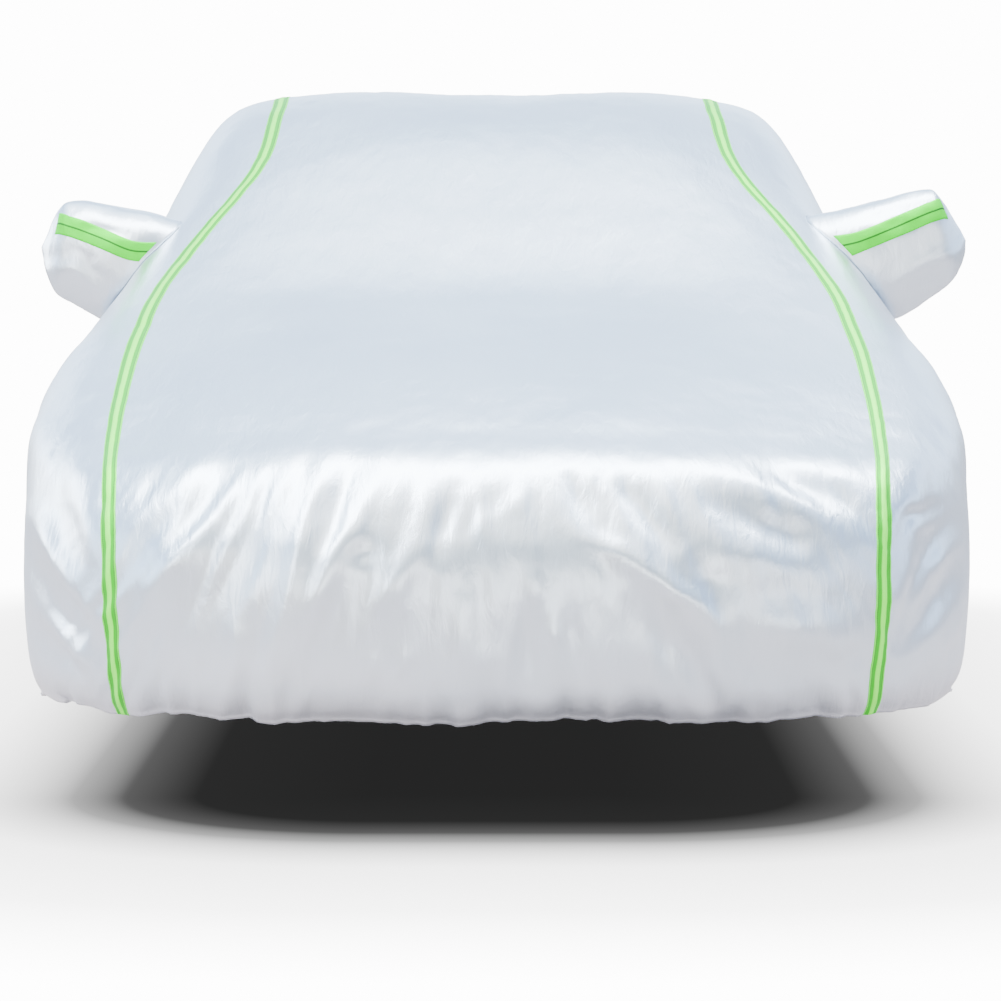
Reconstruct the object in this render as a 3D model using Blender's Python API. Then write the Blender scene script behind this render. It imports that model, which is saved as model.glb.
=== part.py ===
"""Fitted car cover: a hollow shell of coated cloth, standing as it hangs over the body it is cut for.

Metres, +Z up, the front towards -Y. The origin is under the top of the roof, where the cover is held up.
"""

from collections import namedtuple
from math import pi, radians

import bmesh
import bpy
import numpy as np

MM = 0.001

# Driving sizes.
CLOTH = 2 * MM  # thickness of the coated cloth with its backing
GAP = 0.3 * MM  # between neighbouring pieces
SEAM_TAPE = (36 * MM, 1 * MM)  # width, thickness
POCKET_TAPE = (43 * MM, 1 * MM)
HELD_AT = np.array((0, 2000, 1413 - 2)) * MM  # underside of the cloth at the top of the roof

ROW_PITCH = {"front": 66 * MM, "back": 135 * MM}  # spacing of the mesh along the cover
LAST_FRONT_SECTION = "windscreen_top"
CENTRE_COLUMNS = 14  # of the centre panel's half, besides the one under the tape
SIDE_COLUMNS = 15  # of a side panel, besides the one under the tape
CROWN = (1.3, 1.7)  # fullness of the centre panel's curve, in the middle and at the seams
HEM_WAVES = ((430 * MM, 4.8 * MM), (710 * MM, 3.6 * MM))  # wavelength and height of the hem's rise and fall
HEM_WAVE_BAND = (190 * MM, 420 * MM)  # heights above the ground of the full waves and of where they end
FOLD_END = 0.06  # share of a fold's run over which its end is cut off square
FOLD_TURN = 2.5  # how soon a fold comes in as the cloth turns towards its view
STEP = 0.004  # distance over which slopes are measured
SHARP_EDGE = radians(40)

# Sections of one half, front to back, in millimetres: x from the middle, y behind the front corners,
# z above the ground. Each runs across the cover from the middle of the centre panel, over the seam,
# the edge where the top turns into the side, the belt and the flank, down to the hem.
SECTION_COLUMNS = ("centre", "seam", "edge", "belt", "flank", "hem")
SECTIONS = {
    "front_hem": (
        (0, -815, 247), (670, -600, 240), (742, -470, 235), (799, -335, 227), (845, -190, 219), (878, -40, 209)
    ),
    "chin": (
        (0, -848, 300), (675, -640, 298), (771, -475, 284), (837, -305, 267), (878, -120, 246), (886, 90, 200)
    ),
    "bumper": (
        (0, -862, 420), (681, -660, 416), (790, -485, 406), (866, -265, 387), (903, -30, 330), (888, 230, 190)
    ),
    "grille": (
        (0, -842, 560), (686, -635, 545), (800, -450, 533), (884, -200, 511), (912, 70, 420), (889, 380, 190)
    ),
    "nose": (
        (0, -745, 685), (693, -540, 653), (809, -345, 641), (893, -80, 610), (915, 190, 480), (890, 530, 190)
    ),
    "bonnet_front": (
        (0, -560, 748), (705, -350, 713), (822, -190, 705), (906, 50, 675), (919, 320, 520), (890, 680, 190)
    ),
    "bonnet": (
        (0, -200, 835), (712, -60, 800), (832, 60, 780), (913, 240, 722), (919, 480, 545), (890, 850, 190)
    ),
    "bonnet_back": (
        (0, 200, 915), (710, 250, 886), (820, 330, 864), (910, 470, 772), (919, 680, 560), (890, 1000, 190)
    ),
    "cowl": (
        (0, 520, 985), (690, 560, 980), (790, 620, 942), (893, 720, 810), (918, 900, 570), (890, 1150, 190)
    ),
    "windscreen": (
        (0, 820, 1130), (632, 810, 1078), (745, 850, 1035), (867, 920, 850), (916, 1060, 580), (890, 1280, 190)
    ),
    "windscreen_top": (
        (0, 1150, 1290), (525, 1150, 1232), (672, 1170, 1165), (845, 1200, 900), (915, 1290, 590), (890, 1430, 190)
    ),
    "header": (
        (0, 1500, 1383), (505, 1500, 1353), (642, 1500, 1295), (840, 1500, 945), (914, 1520, 595), (890, 1600, 190)
    ),
    "roof": (
        (0, 2000, 1413), (512, 2000, 1409), (656, 2000, 1352), (838, 2000, 975), (916, 2000, 600), (890, 2000, 190)
    ),
    "roof_back": (
        (0, 2500, 1395), (500, 2500, 1376), (632, 2500, 1322), (834, 2480, 975), (915, 2450, 605), (890, 2400, 190)
    ),
    "rear_window": (
        (0, 3000, 1240), (510, 2990, 1190), (650, 2950, 1130), (834, 2880, 930), (912, 2800, 590), (888, 2680, 190)
    ),
    "boot_front": (
        (0, 3320, 1085), (565, 3310, 1055), (712, 3250, 1005), (846, 3150, 870), (908, 3030, 570), (885, 2880, 190)
    ),
    "boot_edge": (
        (0, 3690, 1015), (620, 3600, 985), (752, 3480, 935), (845, 3320, 800), (895, 3180, 530), (880, 3040, 192)
    ),
    "tail": (
        (0, 3800, 860), (640, 3690, 830), (762, 3540, 780), (840, 3370, 660), (882, 3240, 450), (876, 3120, 196)
    ),
    "rear_bumper": (
        (0, 3830, 560), (650, 3700, 540), (762, 3550, 500), (828, 3410, 430), (868, 3290, 330), (872, 3190, 204)
    ),
    "rear_hem": (
        (0, 3780, 270), (640, 3650, 265), (730, 3550, 250), (790, 3450, 240), (835, 3360, 228), (866, 3260, 214)
    ),
}

# Main folds of the cloth, in millimetres: each is a straight ridge, or a trough where its height is below
# zero, that fades out at its ends. Its ends are x and z as seen from the front or the back, and y and z as
# seen from a side. Its reach is how far its slopes run to each side.
VIEWS = {  # the two axes that a view shows, and the direction that its cloth faces
    "front": ((0, 2), (0, -1, 0)),
    "back": ((0, 2), (0, 1, 0)),
    "left": ((1, 2), (-1, 0, 0)),
    "right": ((1, 2), (1, 0, 0)),
}
Fold = namedtuple("Fold", "view start end reach height")
FOLDS = (
    Fold("front", (-437, 710), (-573, 510), 62, -11),
    Fold("front", (-480, 620), (-625, 440), 58, 11),
    Fold("front", (-370, 675), (-532, 350), 66, -12),
    Fold("front", (-310, 640), (-392, 270), 62, 12),
    Fold("front", (-238, 715), (-300, 520), 56, -11),
    Fold("front", (-228, 690), (-335, 370), 58, 12),
    Fold("front", (-120, 610), (-195, 420), 60, 8),
    Fold("front", (-62, 690), (-105, 500), 52, -8),
    Fold("front", (-45, 500), (-68, 270), 60, 7),
    Fold("front", (40, 480), (64, 270), 60, -8),
    Fold("front", (118, 700), (185, 570), 56, -9),
    Fold("front", (165, 590), (395, 360), 66, 14),
    Fold("front", (240, 510), (388, 250), 60, -12),
    Fold("front", (199, 690), (330, 530), 58, -11),
    Fold("front", (330, 640), (575, 540), 66, -11),
    Fold("front", (430, 430), (665, 385), 66, 9),
    Fold("front", (440, 720), (660, 600), 60, -11),
    Fold("front", (-908, 520), (-710, 345), 56, -14),
    Fold("front", (-890, 600), (-735, 420), 60, 11),
    Fold("front", (-880, 390), (-750, 265), 50, -11),
    Fold("front", (885, 575), (722, 520), 56, -12),
    Fold("front", (880, 520), (700, 330), 56, -15),
    Fold("front", (900, 440), (730, 285), 56, 11),
    Fold("left", (760, 800), (1180, 300), 120, 12),
    Fold("left", (1010, 820), (1500, 330), 110, -14),
    Fold("left", (1420, 1120), (1800, 420), 130, 10),
    Fold("left", (2250, 1150), (2050, 330), 120, -12),
    Fold("left", (2750, 900), (2420, 260), 110, 12),
    Fold("left", (3150, 760), (2800, 280), 100, -12),
    Fold("right", (720, 780), (1080, 280), 120, -13),
    Fold("right", (980, 830), (1380, 300), 110, 12),
    Fold("right", (1500, 1150), (1750, 360), 130, -12),
    Fold("right", (2100, 1100), (2060, 300), 120, 11),
    Fold("right", (2600, 960), (2330, 280), 110, -12),
    Fold("right", (3080, 800), (2760, 260), 100, 11),
    Fold("back", (-420, 830), (-540, 360), 80, -9),
    Fold("back", (-230, 860), (-290, 330), 80, 9),
    Fold("back", (40, 820), (20, 300), 90, -8),
    Fold("back", (250, 850), (330, 340), 80, 9),
    Fold("back", (450, 830), (580, 380), 80, -9),
)

# Mirror pockets, in millimetres. The mouth is an oval in the side panel, seen from the side. From it each
# station out to the tip is an oval too: its top and bottom as x and z, its middle's y, half its depth from
# front to back, and how far the tape's middle lies below its top.
Mouth = namedtuple("Mouth", "y z half_depth half_height")
Station = namedtuple("Station", "top bottom y half_depth tape_drop")
Pocket = namedtuple("Pocket", "mouth stations tip")
POCKETS = {
    "left": Pocket(
        Mouth(1000, 1006, 128, 108),
        (
            Station((744, 1132), (862, 902), 990, 120, 90),
            Station((822, 1146), (912, 930), 985, 104, 73),
            Station((904, 1158), (952, 956), 980, 82, 57),
            Station((946, 1138), (974, 998), 976, 46, 34),
        ),
        (985, 976, 1058),
    ),
    "right": Pocket(
        Mouth(1000, 1012, 128, 110),
        (
            Station((748, 1140), (872, 904), 990, 120, 77),
            Station((836, 1162), (938, 944), 985, 104, 64),
            Station((922, 1184), (988, 984), 980, 82, 52),
            Station((960, 1167), (1010, 1022), 976, 46, 34),
        ),
        (1018, 976, 1072),
    ),
}
MOUTH_AT = ("windscreen_top", 2.5)  # section and place across that a mouth lies near
MOUTH_CELLS = 4  # of the side panel's mesh along each side of the block that the mouth replaces
POCKET_SEGMENTS = 4 * MOUTH_CELLS
POCKET_RINGS = 10  # from the mouth to the tip
SQUARENESS = 2.5  # of a pocket's ovals: 2 is an ellipse
TIP_LEAN = 0.2  # of a pocket's curve where it closes: 0 is a flat end
TAPE_SEGMENTS = (3, 5)  # of a pocket's ring, counted from the top over the front: the tape's edges
TAPE_RINGS = (1, 8)  # of a pocket's rings, counted from the mouth: the tape's ends

MATERIALS = {
    "silver_cloth": ((0.75, 0.79, 0.84), 0.42, 0.0),
    "seam_green": ((0.30, 0.72, 0.22), 0.40, 0.0),
    "pocket_green": ((0.13, 0.78, 0.04), 0.40, 0.0),
}


def slopes(points, knots):
    """Slope at each knot of a smooth curve through points that lie unevenly apart."""
    step = np.diff(knots, axis=0)
    rise = np.diff(points, axis=0) / step
    middle = (rise[:-1] * step[1:] + rise[1:] * step[:-1]) / (step[:-1] + step[1:])
    return np.concatenate((rise[:1], middle, rise[-1:]))


def hermite(start, end, start_slope, end_slope, length, t):
    blend = 3 * t**2 - 2 * t**3
    lean_in = t - 2 * t**2 + t**3
    lean_out = t**3 - t**2
    return start * (1 - blend) + end * blend + length * (start_slope * lean_in + end_slope * lean_out)


TABLE = np.array(list(SECTIONS.values()), float) * MM
NAMES = list(SECTIONS)
SPACING = np.linalg.norm(np.diff(TABLE, axis=0), axis=2).mean(axis=1)
KNOTS = np.concatenate(((0.0,), np.cumsum(SPACING)))
ALONG_SLOPES = slopes(TABLE, KNOTS[:, None, None])
LAST_COLUMN = len(SECTION_COLUMNS) - 1
SEAM = SECTION_COLUMNS.index("seam")


def section_points(along):
    """The named points of the section at each distance along the cover: one row of points per distance."""
    bay = np.clip(np.searchsorted(KNOTS, along, side="right") - 1, 0, len(KNOTS) - 2)
    length = (KNOTS[bay + 1] - KNOTS[bay])[:, None, None]
    t = (along - KNOTS[bay])[:, None, None] / length
    return hermite(TABLE[bay], TABLE[bay + 1], ALONG_SLOPES[bay], ALONG_SLOPES[bay + 1], length, t)


def base(along, across):
    """Points of the smooth body at distances along and places across, 0 in the middle and 5 at the hem.

    Places below zero lie on the left half.
    """
    named = section_points(along)
    rows = np.arange(len(along))
    mirrored = named[:, 1] * (-1, 1, 1)
    line = np.concatenate((mirrored[:, None], named), axis=1)
    chord = np.linalg.norm(np.diff(line, axis=1), axis=2)
    pace = np.sqrt(chord)
    knots = np.concatenate((np.zeros((len(along), 1)), np.cumsum(pace, axis=1)), axis=1)
    lean = np.moveaxis(slopes(np.moveaxis(line, 1, 0), knots.T[:, :, None]), 0, 1)
    place = np.abs(across)
    bay = np.clip(place.astype(int), 0, LAST_COLUMN - 1)
    first, second = bay + 1, bay + 2
    t = (place - bay)[:, None]
    length = pace[rows, first][:, None]
    middle = (bay == 0)[:, None]
    start_lean = lean[rows, first] * np.where(middle, CROWN[0], 1)
    end_lean = lean[rows, second] * np.where(middle, CROWN[1], 1)
    points = hermite(line[rows, first], line[rows, second], start_lean, end_lean, length, t)
    points[:, 0] *= np.where(across < 0, -1, 1)
    return points


def normals(shape, along, across, low=-LAST_COLUMN, high=LAST_COLUMN):
    """Outward unit normals of a shape, a function of along and across."""
    back = np.clip(along - STEP, 0, KNOTS[-1])
    ahead = np.clip(along + STEP, 0, KNOTS[-1])
    left = np.clip(across - STEP, low, high)
    right = np.clip(across + STEP, low, high)
    lengthways = shape(ahead, across) - shape(back, across)
    crossways = shape(along, right) - shape(along, left)
    found = np.cross(crossways, lengthways)
    return found / np.linalg.norm(found, axis=1)[:, None]


def fold_height(points, facing):
    """How far the folds raise the cloth at each point, given the direction that each point faces."""
    total = np.zeros(len(points))
    for fold in FOLDS:
        axes, direction = VIEWS[fold.view]
        start, end = np.array(fold.start) * MM, np.array(fold.end) * MM
        run = end - start
        seen = points[:, axes] - start
        share = np.clip(seen @ run / (run @ run), 0, 1)
        away = np.linalg.norm(seen - share[:, None] * run, axis=1) / (fold.reach * MM)
        slope = np.cos(pi / 2 * np.minimum(away, 1)) ** 2
        fade = np.sin(pi * np.clip(share, FOLD_END, 1 - FOLD_END))
        turned = np.clip(facing @ direction * FOLD_TURN, 0, 1)
        total += fold.height * MM * slope * fade * turned
    return total


def draped(along, across):
    """Points of the outer face of the cloth, with its folds."""
    points = base(along, across)
    facing = normals(base, along, across)
    waved = points + facing * fold_height(points, facing)[:, None]
    low, high = HEM_WAVE_BAND
    near_hem = np.clip((high - points[:, 2]) / (high - low), 0, 1) ** 2
    for length, height in HEM_WAVES:
        waved[:, 2] += height * near_hem * np.sin(2 * pi * (points[:, 0] - points[:, 1]) / length)
    return waved


def row_places():
    """Distances along the cover at which the mesh has a row, closer together towards the front."""
    places = []
    last_front = NAMES.index(LAST_FRONT_SECTION)
    for bay, spacing in enumerate(SPACING):
        pitch = ROW_PITCH["front" if bay < last_front else "back"]
        count = max(1, round(spacing / pitch))
        places.extend(KNOTS[bay] + spacing * np.arange(count) / count)
    return np.array(places + [KNOTS[-1]])


ROWS = row_places()


def across_at(along, distances):
    """Places across at distances from the middle, measured over the cloth: distances is a function
    of the distances to the seam and to the hem.
    """
    samples = 40  # from one named point of the section to the next
    fine = np.linspace(0, LAST_COLUMN, samples * LAST_COLUMN + 1)
    points = base(np.full(len(fine), along), fine)
    run = np.concatenate(((0,), np.cumsum(np.linalg.norm(np.diff(points, axis=0), axis=1))))
    return np.interp(distances(run[samples * SEAM], run[-1]), run, fine)


def centre_distances(to_seam, _):
    half = np.linspace(0, to_seam - SEAM_TAPE[0] / 2, CENTRE_COLUMNS + 1)
    return np.append(half, to_seam - GAP / 2)


def side_distances(to_seam, to_hem):
    rest = np.linspace(to_seam + SEAM_TAPE[0] / 2, to_hem, SIDE_COLUMNS + 1)
    return np.append(to_seam + GAP / 2, rest)


def tape_distances(to_seam, _):
    return to_seam + np.array((-0.5, 0, 0.5)) * SEAM_TAPE[0]


def places_across(distances, side=1):
    """Rows and places across of every vertex of a sheet, the columns running from left to right."""
    across = side * np.array([across_at(along, distances) for along in ROWS])
    along = np.repeat(ROWS[:, None], across.shape[1], axis=1)
    return along, across[:, ::side]


def find_places(targets):
    """Places on the body whose y and z are the targets', for targets near a mouth."""
    section, column = MOUTH_AT
    along = np.full(len(targets), KNOTS[NAMES.index(section)])
    across = np.full(len(targets), column)
    for _ in range(9):
        points = base(along, across)
        lengthways = (base(along + STEP, across) - points) / STEP
        crossways = (base(along, across + STEP) - points) / STEP
        miss = targets - points[:, 1:]
        turn = lengthways[:, 1] * crossways[:, 2] - lengthways[:, 2] * crossways[:, 1]
        along = along + (miss[:, 0] * crossways[:, 2] - miss[:, 1] * crossways[:, 1]) / turn
        across = across + (miss[:, 1] * lengthways[:, 1] - miss[:, 0] * lengthways[:, 2]) / turn
    return along, across


def mouth_places(mouth, side, angle, inset=0.0):
    """Places on the side panel round the mouth. The angle is 0 at the top and a quarter turn in front."""
    y = mouth.y * MM - np.sin(angle) * (mouth.half_depth * MM - inset)
    z = mouth.z * MM + np.cos(angle) * (mouth.half_height * MM - inset)
    along, across = find_places(np.stack((y, z), axis=1))
    return along, side * across


def with_mouth(along, across, mouth, side):
    """Moves the vertices round a block of the side panel's mesh onto the pocket's mouth, and says which
    block of rows and columns the mouth cuts out.
    """
    middle = find_places(np.array(((mouth.y, mouth.z),)) * MM)
    middle_along, middle_across = middle[0][0], side * middle[1][0]
    half = MOUTH_CELLS // 2
    middle_row = np.argmin(np.abs(ROWS - middle_along))
    row = middle_row - half
    column = np.argmin(np.abs(across[middle_row] - middle_across)) - half
    rows, columns = np.indices(along.shape)
    back = (rows - row) / half - 1
    down = ((columns - column) / half - 1) * side
    ring = np.maximum(np.abs(back), np.abs(down))
    near = ring < 2
    on_along, on_across = mouth_places(mouth, side, turn_of(back[near], down[near]))
    reach = np.minimum(ring[near], 1)
    share = np.clip(2 - ring[near], 0, 1)
    along, across = along.copy(), across.copy()
    along[near] += share * (middle_along + (on_along - middle_along) * reach - along[near])
    across[near] += share * (middle_across + (on_across - middle_across) * reach - across[near])
    return along, across, ((row, row + MOUTH_CELLS), (column, column + MOUTH_CELLS))


def turn_of(back, down):
    """Angle round the mouth, in equal steps, of the vertices round a square block."""
    upright = np.abs(back) >= np.abs(down)
    long = np.maximum(np.maximum(np.abs(back), np.abs(down)), 1e-9)
    ends = np.where(back < 0, pi / 2 + down / long * pi / 4, 3 * pi / 2 - down / long * pi / 4)
    rest = np.where(down < 0, -back / long * pi / 4, pi + back / long * pi / 4)
    return np.where(upright, ends, rest)


def oval_points(station, angle, side):
    """Points round one station of a pocket. The tape's edges and middle keep the same angles all along."""
    top, bottom = (np.array(end) * MM for end in (station.top, station.bottom))
    height = np.linalg.norm(bottom - top)
    first, last = (pi * 2 / POCKET_SEGMENTS * segment for segment in TAPE_SEGMENTS)
    lines = station.tape_drop * MM + np.array((-0.5, 0, 0.5)) * POCKET_TAPE[0]
    heights = 1 - 2 * lines / height
    turned = np.arccos(np.sign(heights) * np.abs(heights) ** (SQUARENESS / 2))
    knots = (0, first, (first + last) / 2, last, pi, 2 * pi)
    angle = np.interp(angle, knots, (0, *turned, pi, 2 * pi))
    forward = np.sign(np.sin(angle)) * np.abs(np.sin(angle)) ** (2 / SQUARENESS)
    upward = np.sign(np.cos(angle)) * np.abs(np.cos(angle)) ** (2 / SQUARENESS)
    flat = (top + bottom) / 2 + (top - bottom) / 2 * upward[:, None]
    y = station.y * MM - station.half_depth * MM * forward
    return np.stack((side * flat[:, 0], y, flat[:, 1]), axis=1)


def pocket_points(pocket, side, angle, out):
    """Points of a pocket's outer face: out is 0 at the mouth and 1 at the tip."""
    angle = np.mod(angle, 2 * pi)
    mouth = draped(*mouth_places(pocket.mouth, side, angle, GAP * 1.2))
    stations = [oval_points(station, angle, side) for station in pocket.stations]
    tip = np.array(pocket.tip) * MM * (side, 1, 1)
    rings = np.stack((mouth, *stations, np.broadcast_to(tip, mouth.shape)))
    knots = np.linspace(0, 1, len(rings))
    lean = slopes(rings, knots[:, None, None])
    lean[-1] *= TIP_LEAN
    bay = np.clip((out * (len(rings) - 1)).astype(int), 0, len(rings) - 2)
    each = np.arange(len(angle))
    length = 1 / (len(rings) - 1)
    t = (out / length - bay)[:, None]
    return hermite(rings[bay, each], rings[bay + 1, each], lean[bay, each], lean[bay + 1, each], length, t)


def pocket_normals(pocket, side, angle, out):
    shift = 0.01
    inward = np.clip(out - shift, 0, 1 - shift)
    outward = np.clip(out + shift, shift, 1)
    lengthways = pocket_points(pocket, side, angle, outward) - pocket_points(pocket, side, angle, inward)
    round_points = [pocket_points(pocket, side, angle + turn, out) for turn in (-shift, shift)]
    found = side * np.cross(round_points[1] - round_points[0], lengthways)
    size = np.linalg.norm(found, axis=1)[:, None]
    found = np.where(size > 1e-9, found / np.maximum(size, 1e-9), (side, 0, 0))
    panel = normals(draped, *mouth_places(pocket.mouth, side, np.mod(angle, 2 * pi)))
    found = np.where(out[:, None] < shift, found + panel, found)
    return found / np.linalg.norm(found, axis=1)[:, None]


def pocket_sheet(pocket, side, top, bottom, segments=None, rings=None):
    """A pocket, or the patch of it between two segments and two rings, from half a sphere."""
    mesh = bmesh.new()
    bmesh.ops.create_uvsphere(mesh, u_segments=POCKET_SEGMENTS, v_segments=2 * POCKET_RINGS, radius=1)
    bmesh.ops.delete(mesh, geom=[vert for vert in mesh.verts if vert.co.z < -0.01], context="VERTS")
    bmesh.ops.triangulate(mesh, faces=mesh.faces[:], quad_method="FIXED")

    def place_of(point):
        segment = np.arctan2(point[1], point[0]) / (2 * pi) * POCKET_SEGMENTS % POCKET_SEGMENTS
        return segment, np.arctan2(point[2], np.hypot(point[0], point[1])) / (pi / 2) * POCKET_RINGS

    if segments:
        outside = [
            face
            for face in mesh.faces
            for segment, ring in (place_of(face.calc_center_median()),)
            if not (segments[0] < segment < segments[1] and rings[0] < ring < rings[1])
        ]
        bmesh.ops.delete(mesh, geom=outside, context="FACES")
    bmesh.ops.solidify(mesh, geom=mesh.faces[:], thickness=0.02)
    found = np.array([vert.co for vert in mesh.verts])
    radius = np.linalg.norm(found, axis=1)
    outer = radius > (radius.min() + radius.max()) / 2
    segment, ring = (np.rint(part) for part in place_of(found.T))
    angle, out = segment % POCKET_SEGMENTS * 2 * pi / POCKET_SEGMENTS, ring / POCKET_RINGS
    points = pocket_points(pocket, side, angle, out)
    facing = pocket_normals(pocket, side, angle, out)
    place(mesh, points - facing * np.where(outer, top, bottom)[:, None] - HELD_AT)
    return mesh


def flat_sheet(rows, columns, dropped=()):
    """A flat sheet one unit thick with a vertex at each whole row and column. Faces whose middle lies
    in a dropped block of rows and columns are cut out.
    """
    mesh = bmesh.new()
    bmesh.ops.create_grid(mesh, x_segments=rows - 1, y_segments=columns - 1, size=0.5)
    for vert in mesh.verts:
        vert.co.x = round((vert.co.x + 0.5) * (rows - 1))
        vert.co.y = round((vert.co.y + 0.5) * (columns - 1))
    if dropped:
        (row, last_row), (column, last_column) = dropped
        cut = [
            face
            for face in mesh.faces
            if row < face.calc_center_median().x < last_row
            and column < face.calc_center_median().y < last_column
        ]
        bmesh.ops.delete(mesh, geom=cut, context="FACES")
    bmesh.ops.triangulate(mesh, faces=mesh.faces[:], quad_method="FIXED")
    bmesh.ops.solidify(mesh, geom=mesh.faces[:], thickness=1)
    return mesh


def place(mesh, points):
    for vert, point in zip(mesh.verts, points):
        vert.co = point


def sheet(along, across, top, bottom, dropped=()):
    """A sheet over places on the body, between two depths under the cloth's outer face."""
    mesh = flat_sheet(*along.shape, dropped)
    found = np.array([vert.co for vert in mesh.verts])
    row, column = (np.rint(found[:, axis]).astype(int) for axis in (0, 1))
    upper = found[:, 2] > found[:, 2].mean()
    along, across = along[row, column], across[row, column]
    points = draped(along, across)
    facing = normals(draped, along, across)
    place(mesh, points - facing * np.where(upper, top, bottom)[:, None] - HELD_AT)
    return mesh


def add_object(name, mesh, material, collection):
    bmesh.ops.recalc_face_normals(mesh, faces=mesh.faces[:])
    if mesh.calc_volume(signed=True) < 0:
        bmesh.ops.reverse_faces(mesh, faces=mesh.faces[:])
    data = bpy.data.meshes.new(name)
    mesh.to_mesh(data)
    mesh.free()
    data.shade_smooth()
    data.set_sharp_from_angle(angle=SHARP_EDGE)
    data.materials.append(material)
    collection.objects.link(bpy.data.objects.new(name, data))


def new_material(name, colour, roughness, metallic):
    material = bpy.data.materials.new(name)
    material.use_nodes = True
    shader = material.node_tree.nodes["Principled BSDF"]
    shader.inputs["Base Color"].default_value = (*colour, 1)
    shader.inputs["Roughness"].default_value = roughness
    shader.inputs["Metallic"].default_value = metallic
    return material


def main():
    for obj in list(bpy.data.objects):
        bpy.data.objects.remove(obj)
    cover = bpy.data.collections.new("car_cover")
    bpy.context.scene.collection.children.link(cover)
    materials = {name: new_material(name, *values) for name, values in MATERIALS.items()}
    cloth, seam_green, pocket_green = (materials[name] for name in MATERIALS)

    along, half = places_across(centre_distances)
    whole = np.concatenate((-half[:, :0:-1], half), axis=1)
    along = np.repeat(along[:, :1], whole.shape[1], axis=1)
    add_object("centre_panel", sheet(along, whole, 0, CLOTH), cloth, cover)
    for side, name in ((-1, "left"), (1, "right")):
        pocket = POCKETS[name]
        along, across, cut = with_mouth(*places_across(side_distances, side), pocket.mouth, side)
        add_object("side_panel_" + name, sheet(along, across, 0, CLOTH, cut), cloth, cover)
        tape = sheet(*places_across(tape_distances, side), -GAP - SEAM_TAPE[1], -GAP)
        add_object("seam_tape_" + name, tape, seam_green, cover)
        add_object("mirror_pocket_" + name, pocket_sheet(pocket, side, 0, CLOTH), cloth, cover)
        patch = pocket_sheet(pocket, side, -GAP - POCKET_TAPE[1], -GAP, TAPE_SEGMENTS, TAPE_RINGS)
        add_object("pocket_tape_" + name, patch, pocket_green, cover)


main()
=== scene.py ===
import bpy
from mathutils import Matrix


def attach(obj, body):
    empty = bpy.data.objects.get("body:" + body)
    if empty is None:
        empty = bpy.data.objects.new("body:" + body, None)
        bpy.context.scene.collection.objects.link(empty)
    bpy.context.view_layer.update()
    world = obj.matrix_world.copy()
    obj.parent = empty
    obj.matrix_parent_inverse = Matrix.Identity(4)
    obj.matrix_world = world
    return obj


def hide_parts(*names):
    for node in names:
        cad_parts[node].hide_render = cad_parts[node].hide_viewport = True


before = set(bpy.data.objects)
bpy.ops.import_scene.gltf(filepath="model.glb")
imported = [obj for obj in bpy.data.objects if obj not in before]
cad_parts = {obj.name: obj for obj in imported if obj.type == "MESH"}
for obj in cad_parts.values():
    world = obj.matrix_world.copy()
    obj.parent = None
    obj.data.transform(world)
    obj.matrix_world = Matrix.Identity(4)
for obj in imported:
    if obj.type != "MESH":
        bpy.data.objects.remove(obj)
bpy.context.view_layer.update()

from math import pi, radians

import bpy
import numpy as np
from mathutils import Vector, noise

mm = 0.001
# the mount, under the top of the cover; the sizes below start in the middle between the front corners,
# on the ground
heldAt = np.array((0, 2000, 1411)) * mm

photoView = {
    "ahead": 7.5,  # metres in front of the front corners
    "height": 1.1,  # over the ground
    "lens": 140.3,
    "sensor": 36,
    "tilt": 4.0,  # degrees down from level, and to the side
    "turn": -0.06,
    "nosePlane": 0.8,  # in front of the corners, an upright plane on which the front's creases are measured
}


def setCamera():
    data = bpy.data.cameras.new("photoCamera")
    data.sensor_width = photoView["sensor"]
    data.lens = photoView["lens"]
    camera = bpy.data.objects.new("photoCamera", data)
    camera.location = Vector((0, -photoView["ahead"], photoView["height"])) - Vector(heldAt)
    camera.rotation_euler = (radians(90 - photoView["tilt"]), 0, radians(photoView["turn"]))
    bpy.context.scene.collection.objects.link(camera)
    bpy.context.scene.camera = camera


setCamera()
print("camera set")

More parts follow.
